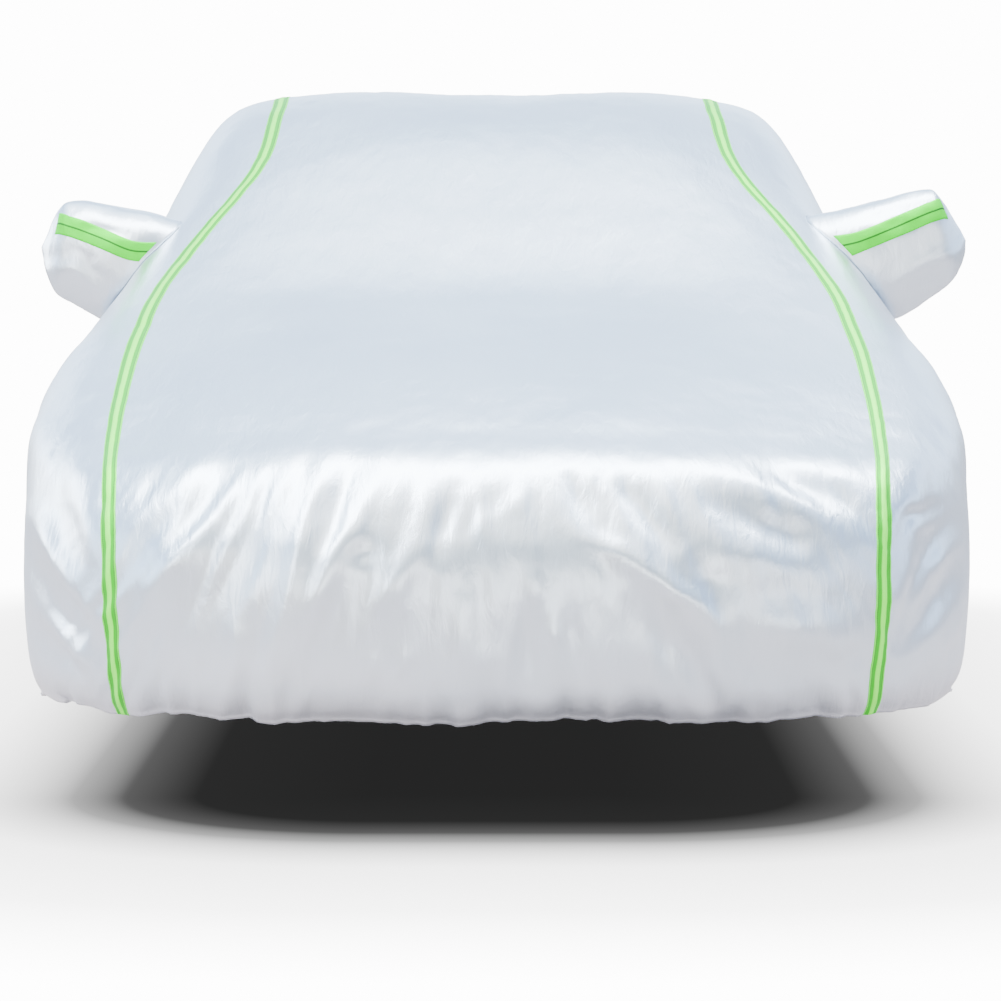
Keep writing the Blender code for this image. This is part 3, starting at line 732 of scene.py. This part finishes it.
pocketMake = {
    "mouthNear": ("windscreenTop", 2.5),  # section and place across where the search for a mouth starts
    "searches": 9,
    "mouthCells": 20,
    "mouthReach": 1.6,  # how far the panel's mesh is pulled towards the mouth, in half mouths
    "inset": 0.0004,  # of the pocket's edge from the panel's
    "cells": (80, 44),  # round the pocket and out to its tip
    "crowding": 1.25,  # of the cells towards the tip
    "squareness": 2.5,  # power of the ovals; 2 is an ellipse
    "tapeWidth": 43,
    "tapeCells": (13, 40),
    "tapeThickness": 0.0008,
    "tapeLift": 0.0011,
    "tapeAngles": (3 / 16, 5 / 16),  # share of a turn, from the top over the front
    "tapeEnds": (0.05, 0.76),  # share of the way from the mouth to the tip
    "mouthTapeTurn": (0.148, 0.183, 0.218),  # the same at the mouth, for its edges and its middle
    "tipLean": 0.2,  # less makes the tip blunter
    "length": 0.28,  # from the mouth to the tip
    "creaseEnds": (0.1, 0.9),
    "turnAway": 3,  # how fast a crease fades towards the top and the back
    "crumple": (14, 0.003, 4),  # turns per metre, height, and how fast it grows from the mouth
    "fractal": (0.8, 2.0, 3),
    "weld": 0.00005,
}


def findPlaces(targets):  # places on the body whose y and z are the targets', near a mouth
    section, column = pocketMake["mouthNear"]
    along = np.full(len(targets), knots[sectionNames.index(section)])
    across = np.full(len(targets), column)
    for _ in range(pocketMake["searches"]):
        points = bodyPoints(along, across)
        lengthways = (bodyPoints(along + probeStep, across) - points) / probeStep
        crossways = (bodyPoints(along, across + probeStep) - points) / probeStep
        miss = targets - points[:, 1:]
        turn = lengthways[:, 1] * crossways[:, 2] - lengthways[:, 2] * crossways[:, 1]
        along = along + (miss[:, 0] * crossways[:, 2] - miss[:, 1] * crossways[:, 1]) / turn
        across = across + (miss[:, 1] * lengthways[:, 1] - miss[:, 0] * lengthways[:, 2]) / turn
    return along, across


def mouthPlaces(mouth, side, angle, inset=0.0):
    y = mouth["y"] * mm - np.sin(angle) * (mouth["halfDepth"] * mm - inset)
    z = mouth["z"] * mm + np.cos(angle) * (mouth["halfHeight"] * mm - inset)
    along, across = findPlaces(np.stack((y, z), axis=1))
    return along, side * across


def turnOf(back, down):  # angle in equal steps round a square block
    upright = np.abs(back) >= np.abs(down)
    long = np.maximum(np.maximum(np.abs(back), np.abs(down)), 1e-9)
    ends = np.where(back < 0, pi / 2 + down / long * pi / 4, 3 * pi / 2 - down / long * pi / 4)
    rest = np.where(down < 0, -back / long * pi / 4, pi + back / long * pi / 4)
    return np.where(upright, ends, rest)


# moves the sheet's vertices round a block onto the mouth, and drops the block
def cutMouth(along, across, mouth, side):
    middle = findPlaces(np.array(((mouth["y"], mouth["z"]),)) * mm)
    middleAlong, middleAcross = middle[0][0], side * middle[1][0]
    half = pocketMake["mouthCells"] // 2
    middleRow = np.argmin(np.abs(rowsAlong - middleAlong))
    row = middleRow - half
    column = np.argmin(np.abs(across[middleRow] - middleAcross)) - half
    rows, columns = np.indices(along.shape)
    back = (rows - row) / half - 1
    down = ((columns - column) / half - 1) * side
    ring = np.maximum(np.abs(back), np.abs(down))
    outer = pocketMake["mouthReach"]
    near = ring < outer
    onAlong, onAcross = mouthPlaces(mouth, side, turnOf(back[near], down[near]))
    reach = np.minimum(ring[near], 1)
    share = np.clip((outer - ring[near]) / (outer - 1), 0, 1)
    share = share * share * (3 - 2 * share)
    along, across = along.copy(), across.copy()
    along[near] += share * (middleAlong + (onAlong - middleAlong) * reach - along[near])
    across[near] += share * (middleAcross + (onAcross - middleAcross) * reach - across[near])
    keep = np.ones((along.shape[0] - 1, along.shape[1] - 1), bool)
    keep[row:row + 2 * half, column:column + 2 * half] = False
    return along, across, keep


def turnToTape(angle, tapeAt):  # moves the tape's edges and middle to the three given angles
    first, last = (2 * pi * share for share in pocketMake["tapeAngles"])
    return np.interp(angle, (0, first, (first + last) / 2, last, pi, 2 * pi), (0, *tapeAt, pi, 2 * pi))


def ovalPoints(oval, angle, side):
    top, bottom, middleY, halfDepth, tapeDrop = oval
    top, bottom = np.array(top) * mm, np.array(bottom) * mm
    lines = (tapeDrop + np.array((-0.5, 0, 0.5)) * pocketMake["tapeWidth"]) * mm
    heights = 1 - 2 * lines / np.linalg.norm(bottom - top)
    square = pocketMake["squareness"]
    angle = turnToTape(angle, np.arccos(np.sign(heights) * np.abs(heights) ** (square / 2)))
    forward = np.sign(np.sin(angle)) * np.abs(np.sin(angle)) ** (2 / square)
    upward = np.sign(np.cos(angle)) * np.abs(np.cos(angle)) ** (2 / square)
    flat = (top + bottom) / 2 + (top - bottom) / 2 * upward[:, None]
    return np.stack((side * flat[:, 0], middleY * mm - halfDepth * mm * forward, flat[:, 1]), axis=1)


def pocketPoints(pocket, side, angle, out):
    angle = np.mod(angle, 2 * pi)
    mouthAngle = turnToTape(angle, 2 * pi * np.array(pocketMake["mouthTapeTurn"]))
    mouth, _ = clothPoints(*mouthPlaces(pocket["mouth"], side, mouthAngle, pocketMake["inset"]))
    ovals = [ovalPoints(oval, angle, side) for oval in pocket["ovals"]]
    tip = np.array(pocket["tip"]) * mm * (side, 1, 1)
    rings = np.stack((mouth, *ovals, np.broadcast_to(tip, mouth.shape)))
    lean = slopes(rings, np.linspace(0, 1, len(rings))[:, None, None])
    lean[-1] *= pocketMake["tipLean"]
    bay = np.clip((out * (len(rings) - 1)).astype(int), 0, len(rings) - 2)
    each = np.arange(len(angle))
    length = 1 / (len(rings) - 1)
    ends = rings[bay, each], rings[bay + 1, each], lean[bay, each], lean[bay + 1, each]
    return hermite(*ends, length, (out / length - bay)[:, None])


# creases of the pockets, seen from the camera: half width, height and points in mm
pocketCreases = {
    "left": (
        (9, -6, ((-772, 1052), (-717, 1052), (-690, 1021), (-655, 1002))),
        (8, 5, ((-762, 1030), (-720, 1028), (-690, 1000))),
        (7, -4, ((-745, 1010), (-715, 990), (-690, 975))),
        (8, -4, ((-700, 1105), (-660, 1095), (-620, 1085))),
    ),
    "right": (
        (9, -6, ((650, 1007), (692, 1035), (731, 1064), (791, 1090))),
        (8, 5, ((697, 1026), (762, 1048), (790, 1059))),
        (7, -4, ((700, 1000), (745, 1020), (790, 1030))),
        (8, -3, ((610, 1110), (660, 1125), (720, 1140))),
    ),
}


def pocketSurface(name, side, angle, out):
    pocket = pocketTable[name]
    points = pocketPoints(pocket, side, angle, out)
    shift = 0.01  # in shares of the way out, and in radians
    further, nearer = np.clip(out + shift, shift, 1), np.clip(out - shift, 0, 1 - shift)
    lengthways = pocketPoints(pocket, side, angle, further) - pocketPoints(pocket, side, angle, nearer)
    around = pocketPoints(pocket, side, angle + shift, out) - pocketPoints(pocket, side, angle - shift, out)
    facing = side * np.cross(around, lengthways)
    size = np.linalg.norm(facing, axis=1)[:, None]
    facing = np.where(size > 1e-9, facing / np.maximum(size, 1e-9), (side, 0, 0))
    height = np.zeros(len(points))
    seen = seenFromCamera(points)
    toward = np.clip(-facing[:, 1] * pocketMake["turnAway"], 0, 1)
    for width, rise, corners in pocketCreases[name]:
        line = smoothLine(corners)
        away = np.linalg.norm(seen[:, None] - line[None], axis=2)
        share = away.argmin(axis=1) / (len(line) - 1)
        profile = np.exp(-((away.min(axis=1) / (width * mm)) ** 2))
        height += rise * mm * profile * np.sin(pi * np.clip(share, *pocketMake["creaseEnds"])) * toward
    turns, rise, growth = pocketMake["crumple"]
    crumple = np.array([noise.fractal(Vector(p) * turns, *pocketMake["fractal"]) for p in points])
    height += rise * crumple * np.clip(out * growth, 0, 1)
    return points + facing * height[:, None], facing


def pocketGrid(name, side, pieceName, angles, outs, thickness, lift=0.0):
    angle, out = np.meshgrid(angles[::-side], outs, indexing="ij")
    points, facing = pocketSurface(name, side, angle.ravel(), out.ravel())
    grid = (points + facing * lift).reshape(*angle.shape, 3)
    if lift == 0:  # the pocket itself goes all the way round
        grid[-1] = grid[0]
    u = (angle - angles[0]) / (angles[-1] - angles[0])
    uv = np.stack((u.ravel(), out.ravel() * pocketMake["length"]), axis=1)
    keep = np.ones((len(angles) - 1, len(outs) - 1), bool)
    return gridObject(pieceName + name.capitalize(), grid.reshape(-1, 3), uv, keep, thickness)


def mirrorPocket(name, side):
    aroundCells, lengthCells = pocketMake["cells"]
    angles = np.linspace(0, 2 * pi, aroundCells + 1)
    outs = 1 - (1 - np.linspace(0, 1, lengthCells + 1)) ** pocketMake["crowding"]
    piece = pocketGrid(name, side, "mirrorPocket", angles, outs, grids["cloth"])
    weld = piece.modifiers.new("closeRing", "WELD")
    weld.merge_threshold = pocketMake["weld"]
    piece.modifiers.move(1, 0)
    return piece


def pocketTape(name, side):
    acrossCells, lengthCells = pocketMake["tapeCells"]
    first, last = (2 * pi * share for share in pocketMake["tapeAngles"])
    angles, outs = np.linspace(first, last, acrossCells), np.linspace(*pocketMake["tapeEnds"], lengthCells)
    thickness, lift = pocketMake["tapeThickness"], pocketMake["tapeLift"]
    return pocketGrid(name, side, "pocketTape", angles, outs, thickness, lift)


# materials
clothLook = {
    "colour": (0.76, 0.85, 0.95, 1),
    "shade": (0.68, 0.78, 0.89, 1),
    "mottle": (0.35, 0.6),  # between which values of the noise the shade turns into the colour
    # painted shade: the cloth's colour is multiplied by this near the hem
    "hemShadeColour": (0.98, 0.80, 0.76, 1),
    "hemShade": (0.30, 0.20, 0.65),  # painted shade near the hem: heights over the ground where the darker, warmer tint starts and is full, and its strength
    "roughness": 0.31,
    "metallic": 0.92,
    "surface": {"Crinkle Scale": 30, "Crinkle Depth": 0.42, "Weave Pitch": 620, "Weave Depth": 0.10},
}
tapeLook = {
    "edge": (0.10, 0.75, 0.04, 1),
    "band": (0.01, 0.42, 0.004, 1),
    "middle": (0.20, 0.95, 0.06, 1),
    "stitch": (0.05, 0.13, 0.03, 1),
    "stops": (  # colours across the tape
        (0, "edge"), (0.07, "edge"), (0.11, "band"), (0.31, "band"), (0.38, "middle"),
        (0.62, "middle"), (0.69, "band"), (0.89, "band"), (0.93, "edge"),
    ),
    "stitchLines": (0.13, 0.87),
    "stitches": (0.018, 250, 0.7),  # half width, number in a metre, and the share that is thread
    "roughness": 0.5,
    "metallic": 0.75,
    # painted glow: how strongly the tape gives off light of its own colour
    "paintedGlow": 0.55,
    "surface": {"Crinkle Scale": 60, "Crinkle Depth": 0.15, "Weave Pitch": 500, "Weave Depth": 0.2},
}
pocketTapeLook = {
    "band": (0.012, 0.62, 0.0005, 1),
    "line": (0.01, 0.09, 0.01, 1),
    "stops": ((0, "band"), (0.455, "band"), (0.47, "line"), (0.53, "line"), (0.545, "band")),
    "stitchLines": (),
    "roughness": 0.55,
    "metallic": 0.7,
    # painted glow: how strongly the tape gives off light of its own colour
    "paintedGlow": 0.35,
    "surface": {"Crinkle Scale": 40, "Crinkle Depth": 0.2, "Weave Pitch": 500, "Weave Depth": 0.1},
}
crinkleLook = {
    "small": {"Detail": 5, "Roughness": 0.55, "Distortion": 0.8},
    "large": {"Scale": 2.2, "Detail": 3},
    "pull": (1.9, 0.55, 0.55),  # crinkles are longer along the cover and down it than across
    "depths": {"Weave Depth": 0.0002, "Crinkle Depth": 0.004},  # in metres, at full strength
}


def addNodes(nodes, *kinds):
    return [nodes.new("ShaderNode" + kind) for kind in kinds]


def setInputs(node, **values):
    for name, value in values.items():
        node.inputs[name].default_value = value


def crinkleGroup():  # fine crinkle and weave of coated cloth, as a normal and a mask
    group = bpy.data.node_groups.new("clothCrinkle", "ShaderNodeTree")
    for name, value in clothLook["surface"].items():
        socket = group.interface.new_socket(name=name, in_out="INPUT", socket_type="NodeSocketFloat")
        socket.default_value = value
    group.interface.new_socket(name="Normal", in_out="OUTPUT", socket_type="NodeSocketVector")
    group.interface.new_socket(name="Mottle", in_out="OUTPUT", socket_type="NodeSocketFloat")
    nodes, links = group.nodes, group.links
    given, result = nodes.new("NodeGroupInput"), nodes.new("NodeGroupOutput")
    place, large, small, pull = addNodes(nodes, "TexCoord", "TexNoise", "TexNoise", "Mapping")
    setInputs(small, **crinkleLook["small"])
    setInputs(large, **crinkleLook["large"])
    setInputs(pull, Scale=crinkleLook["pull"])
    links.new(place.outputs["Object"], pull.inputs["Vector"])
    links.new(pull.outputs["Vector"], small.inputs["Vector"])
    links.new(place.outputs["Object"], large.inputs["Vector"])
    links.new(given.outputs["Crinkle Scale"], small.inputs["Scale"])
    cross, weaveBump, crinkleBump = addNodes(nodes, "Math", "Bump", "Bump")
    cross.operation = "MULTIPLY"
    for number, direction in enumerate("XY"):
        wave = nodes.new("ShaderNodeTexWave")
        wave.bands_direction = direction
        links.new(place.outputs["UV"], wave.inputs["Vector"])
        links.new(given.outputs["Weave Pitch"], wave.inputs["Scale"])
        links.new(wave.outputs["Fac"], cross.inputs[number])
    for bump, (name, distance) in zip((weaveBump, crinkleBump), crinkleLook["depths"].items()):
        setInputs(bump, Distance=distance)
        links.new(given.outputs[name], bump.inputs["Strength"])
    links.new(cross.outputs[0], weaveBump.inputs["Height"])
    links.new(small.outputs["Fac"], crinkleBump.inputs["Height"])
    links.new(weaveBump.outputs["Normal"], crinkleBump.inputs["Normal"])
    links.new(crinkleBump.outputs["Normal"], result.inputs["Normal"])
    links.new(large.outputs["Fac"], result.inputs["Mottle"])
    return group


crinkle = crinkleGroup()


def newMaterial(name, look):
    material = bpy.data.materials.new(name)
    material.use_nodes = True
    nodes, links = material.node_tree.nodes, material.node_tree.links
    shader = nodes["Principled BSDF"]
    setInputs(shader, Roughness=look["roughness"], Metallic=look["metallic"])
    surface = nodes.new("ShaderNodeGroup")
    surface.node_tree = crinkle
    setInputs(surface, **look["surface"])
    links.new(surface.outputs["Normal"], shader.inputs["Normal"])
    return material, nodes, links, shader, surface


def mixColours(nodes, links, factor, first, second, kind="MIX"):  # the first colour may be another node's
    mix = nodes.new("ShaderNodeMix")
    mix.data_type = "RGBA"
    mix.blend_type = kind
    links.new(factor, mix.inputs["Factor"])
    if isinstance(first, tuple):
        mix.inputs["A"].default_value = first
    else:
        links.new(first, mix.inputs["A"])
    mix.inputs["B"].default_value = second
    return mix.outputs["Result"]


def spreadRange(nodes, links, value, start, end, most=1.0):  # 0 at the start and the most at the end
    spread = nodes.new("ShaderNodeMapRange")
    setInputs(spread, **{"From Min": start, "From Max": end, "To Max": most})
    links.new(value, spread.inputs["Value"])
    return spread.outputs["Result"]


def clothMaterial():
    look = clothLook
    material, nodes, links, shader, surface = newMaterial("silverCloth", look)
    mottle = spreadRange(nodes, links, surface.outputs["Mottle"], *look["mottle"])
    colour = mixColours(nodes, links, mottle, look["shade"], look["colour"])
    # painted shade: the cloth turns darker and warmer towards the hem
    place, split = addNodes(nodes, "TexCoord", "SeparateXYZ")
    links.new(place.outputs["Object"], split.inputs[0])
    start, full, strength = look["hemShade"]
    hemShade = spreadRange(nodes, links, split.outputs["Z"], start - heldAt[2], full - heldAt[2], strength)
    links.new(mixColours(nodes, links, hemShade, colour, look["hemShadeColour"], "MULTIPLY"), shader.inputs["Base Color"])
    return material


def mathNode(nodes, links, operation, value, *settings):
    node = nodes.new("ShaderNodeMath")
    node.operation = operation
    links.new(value, node.inputs[0])
    for number, setting in enumerate(settings, 1):
        if isinstance(setting, (int, float)):
            node.inputs[number].default_value = setting
        else:
            links.new(setting, node.inputs[number])
    return node.outputs[0]


def bandMaterial(name, look):  # colours in bands across a tape, and stitches along it
    material, nodes, links, shader, _ = newMaterial(name, look)
    setInputs(shader, **{"Emission Strength": look["paintedGlow"]})  # painted glow: the tape gives off light of its own colour, standing in for the light that reflective yarn sends back to the viewer
    place, split, ramp = addNodes(nodes, "TexCoord", "SeparateXYZ", "ValToRGB")
    links.new(place.outputs["UV"], split.inputs[0])
    links.new(split.outputs["X"], ramp.inputs["Fac"])
    ramp.color_ramp.elements.remove(ramp.color_ramp.elements[1])
    for number, (at, colour) in enumerate(look["stops"]):
        stop = ramp.color_ramp.elements[0] if number == 0 else ramp.color_ramp.elements.new(at)
        stop.position = at
        stop.color = look[colour]
    colour = ramp.outputs["Color"]
    for line in look["stitchLines"]:
        halfWidth, perMetre, thread = look["stitches"]
        across = mathNode(nodes, links, "COMPARE", split.outputs["X"], line, halfWidth)
        counted = mathNode(nodes, links, "MULTIPLY", split.outputs["Y"], perMetre)
        along = mathNode(nodes, links, "LESS_THAN", mathNode(nodes, links, "FRACT", counted), thread)
        both = mathNode(nodes, links, "MULTIPLY", across, along)
        colour = mixColours(nodes, links, both, colour, look["stitch"])
    links.new(colour, shader.inputs["Base Color"])
    links.new(colour, shader.inputs["Emission Color"])
    return material


silverCloth = clothMaterial()
seamGreen = bandMaterial("seamGreen", tapeLook)
pocketGreen = bandMaterial("pocketGreen", pocketTapeLook)
print("materials made")

# the tape over a seam: across it in mm, and its height over the cloth, with a raised band along its middle
tapeProfile = {
    "across": (-18, -16.9, -14.8, -13.2, -11.4, -7, -5.4, -2.6, 0, 2.6, 5.4, 7, 11.4, 13.2, 14.8, 16.9, 18),
    "height": (0.4, 1.0, 0.9, 0.8, 1.05, 1.1, 1.6, 1.85, 1.9, 1.85, 1.6, 1.1, 1.05, 0.8, 0.9, 1.0, 0.4),
    "thickness": 0.3,
}


def dress(piece, material, node):
    piece.data.materials.append(material)
    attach(piece, "root")
    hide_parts(node)


def makeCentrePanel():
    along, half = gridPlaces(centreDistances)
    whole = np.concatenate((-half[:, :0:-1], half), axis=1)
    along = np.repeat(along[:, :1], whole.shape[1], axis=1)
    panel = clothSheet("centrePanel", *turnUnder(along, whole))
    dress(panel, silverCloth, "centre_panel")


def makeSidePanel(side, name):
    along, across, keep = cutMouth(*gridPlaces(sideDistances, side), pocketTable[name]["mouth"], side)
    steps = hem["turnSteps"]
    keep = np.pad(keep, ((steps, steps), (0, steps) if side > 0 else (steps, 0)), constant_values=True)
    panel = clothSheet("sidePanel" + name.capitalize(), *turnUnder(along, across, side), keep=keep)
    dress(panel, silverCloth, "side_panel_" + name)
    return panel


def makeSeamTape(side, name):
    offsets, heights = np.array(tapeProfile["across"]) * mm, np.array(tapeProfile["height"]) * mm
    places = gridPlaces(lambda toSeam, toHem: toSeam + offsets, side)
    acrossTape = offsets / (2 * grids["tapeSide"]) + 0.5
    tape = clothSheet(
        "seamTape" + name.capitalize(), *turnUnder(*places),
        lift=heights, thickness=tapeProfile["thickness"] * mm, uvAcross=acrossTape,
    )
    dress(tape, seamGreen, "seam_tape_" + name)


makeCentrePanel()
print("middle panel made")

for side, name in ((-1, "left"), (1, "right")):
    panel = makeSidePanel(side, name)
    makeSeamTape(side, name)
    pocket = mirrorPocket(name, side)
    dress(pocket, silverCloth, "mirror_pocket_" + name)
    band = pocketTape(name, side)
    dress(band, pocketGreen, "pocket_tape_" + name)
    print(name, "side made")

# floor, sky and lights
studio = {
    "floor": (0.40, 0.345, 0.33, 1),  # what the cover's cloth sees of the ground
    "floorSize": 80,
    "floorRoughness": 0.8,
    "paintedShadow": ((0, -0.45), (0.24, 1.52)),  # middle and half size of the painted shadow on the ground under the cover
    "shadowAndFloorStops": (  # distance from there, and how bright the ground shows to the camera: a painted shadow near the cover, fading out to the pale floor
        (0.0, 0.025), (0.34, 0.03), (0.48, 0.12), (0.58, 0.6), (0.72, 2.6), (0.86, 4.6), (1.3, 6.5), (1.9, 14),
    ),
    "skyStops": (  # height of the direction, and the light from there
        (0.0, (1.3, 1.3, 1.32, 1)),
        (0.10, (1.8, 2.0, 2.3, 1)),
        (0.22, (3.9, 4.8, 5.8, 1)),
        (0.36, (1.8, 2.4, 3.2, 1)),
        (0.47, (0.50, 0.90, 1.5, 1)),
        (0.64, (2.1, 2.8, 3.6, 1)),
        (0.84, (3.6, 4.2, 4.8, 1)),
        (1.0, (4.6, 4.9, 5.2, 1)),
    ),
    "skyDims": (  # the light from the camera's side and from the right, against the rest
        ("Y", 0.1, -0.7, (0.88, 0.70, 0.54, 1)),
        ("X", 0.15, 0.7, (0.62, 0.62, 0.65, 1)),
    ),
    "backdrop": 14,
}
lights = {  # power, width and length, place and aim over the ground
    "overheadLight": (790, (9.2, 2.2), (-0.5, 0.1, 4.4), (-0.2, -0.5, 0.6)),
    "frontLight": (190, (9.0, 1.6), (1.4, -10.5, 1.3), (0, -0.8, 0.5)),
    "frontRightLight": (50, (3.5, 2.4), (6.0, -5.0, 1.6), (0.4, -0.8, 0.6)),
    "leftLight": (75, (1.6, 2.4), (-4.4, -4.0, 2.6), (0, -0.6, 0.5)),
    "behindLeftLight": (110, (2.4, 2.0), (-5.0, 4.0, 1.7), (-0.6, 0, 0.6)),
}


def setStops(ramp, stops):
    for number, (at, colour) in enumerate(stops):
        stop = ramp.color_ramp.elements[number] if number < 2 else ramp.color_ramp.elements.new(at)
        stop.position = at
        stop.color = colour


# what the camera sees is one thing, and what lights the cover is another
def mixForCamera(nodes, links, lit, shown, output):
    seen, both = addNodes(nodes, "LightPath", "MixShader")
    for number, value in enumerate((seen.outputs["Is Camera Ray"], lit.outputs[0], shown.outputs[0])):
        links.new(value, both.inputs[number])
    links.new(both.outputs[0], nodes[output].inputs["Surface"])


def addFloor():
    bpy.ops.mesh.primitive_plane_add(size=studio["floorSize"], location=(0, 0, -heldAt[2]))
    floor = bpy.context.object
    floor.name = "studioFloor"
    material = bpy.data.materials.new("paleFloor")
    material.use_nodes = True
    nodes, links = material.node_tree.nodes, material.node_tree.links
    shader = nodes["Principled BSDF"]
    setInputs(shader, **{"Base Color": studio["floor"], "Roughness": studio["floorRoughness"]})
    # painted shadow: the camera sees the ground as light given off, dark under the cover and bright beyond it,
    # not as a shadow that a lamp casts
    middle, half = studio["paintedShadow"]
    spot = nodes.new("ShaderNodeTexCoord").outputs["Object"]
    fromPaintedShadow = (
        ("SUBTRACT", (*middle, 0)), ("ABSOLUTE", None), ("SUBTRACT", (*half, 0)),
        ("MAXIMUM", (0, 0, 0)), ("LENGTH", None),
    )
    for operation, value in fromPaintedShadow:
        step = nodes.new("ShaderNodeVectorMath")
        step.operation = operation
        links.new(spot, step.inputs[0])
        if value:
            step.inputs[1].default_value = value
        spot = step.outputs["Value" if operation == "LENGTH" else "Vector"]
    reach = studio["shadowAndFloorStops"][-1][0]
    ramp, shown = addNodes(nodes, "ValToRGB", "Emission")
    links.new(spreadRange(nodes, links, spot, 0, reach), ramp.inputs["Fac"])
    setStops(ramp, [(at / reach, (value, value, value, 1)) for at, value in studio["shadowAndFloorStops"]])
    links.new(ramp.outputs["Color"], shown.inputs["Color"])
    mixForCamera(nodes, links, shader, shown, "Material Output")
    floor.data.materials.append(material)


def addLight(name, power, size, place, target):
    data = bpy.data.lights.new(name, "AREA")
    data.energy = power
    data.shape = "RECTANGLE"
    data.size, data.size_y = size
    light = bpy.data.objects.new(name, data)
    light.location = Vector(place) - Vector(heldAt)
    light.rotation_euler = (Vector(target) - Vector(place)).to_track_quat("-Z", "Y").to_euler()
    bpy.context.scene.collection.objects.link(light)


def addSky():
    world = bpy.data.worlds.new("studioSky")
    world.use_nodes = True
    bpy.context.scene.world = world
    nodes, links = world.node_tree.nodes, world.node_tree.links
    direction, split, ramp, backdrop = addNodes(nodes, "TexCoord", "SeparateXYZ", "ValToRGB", "Background")
    links.new(direction.outputs["Generated"], split.inputs[0])
    links.new(split.outputs["Z"], ramp.inputs["Fac"])
    setStops(ramp, studio["skyStops"])
    colour = ramp.outputs["Color"]
    for axis, start, end, dimmed in studio["skyDims"]:
        side = spreadRange(nodes, links, split.outputs[axis], start, end)
        colour = mixColours(nodes, links, side, colour, dimmed, "MULTIPLY")
    sky = nodes["Background"]
    links.new(colour, sky.inputs["Color"])
    setInputs(backdrop, Color=(1, 1, 1, 1), Strength=studio["backdrop"])
    mixForCamera(nodes, links, sky, backdrop, "World Output")


addFloor()
for name, values in lights.items():
    addLight(name, *values)
addSky()
print("studio made")
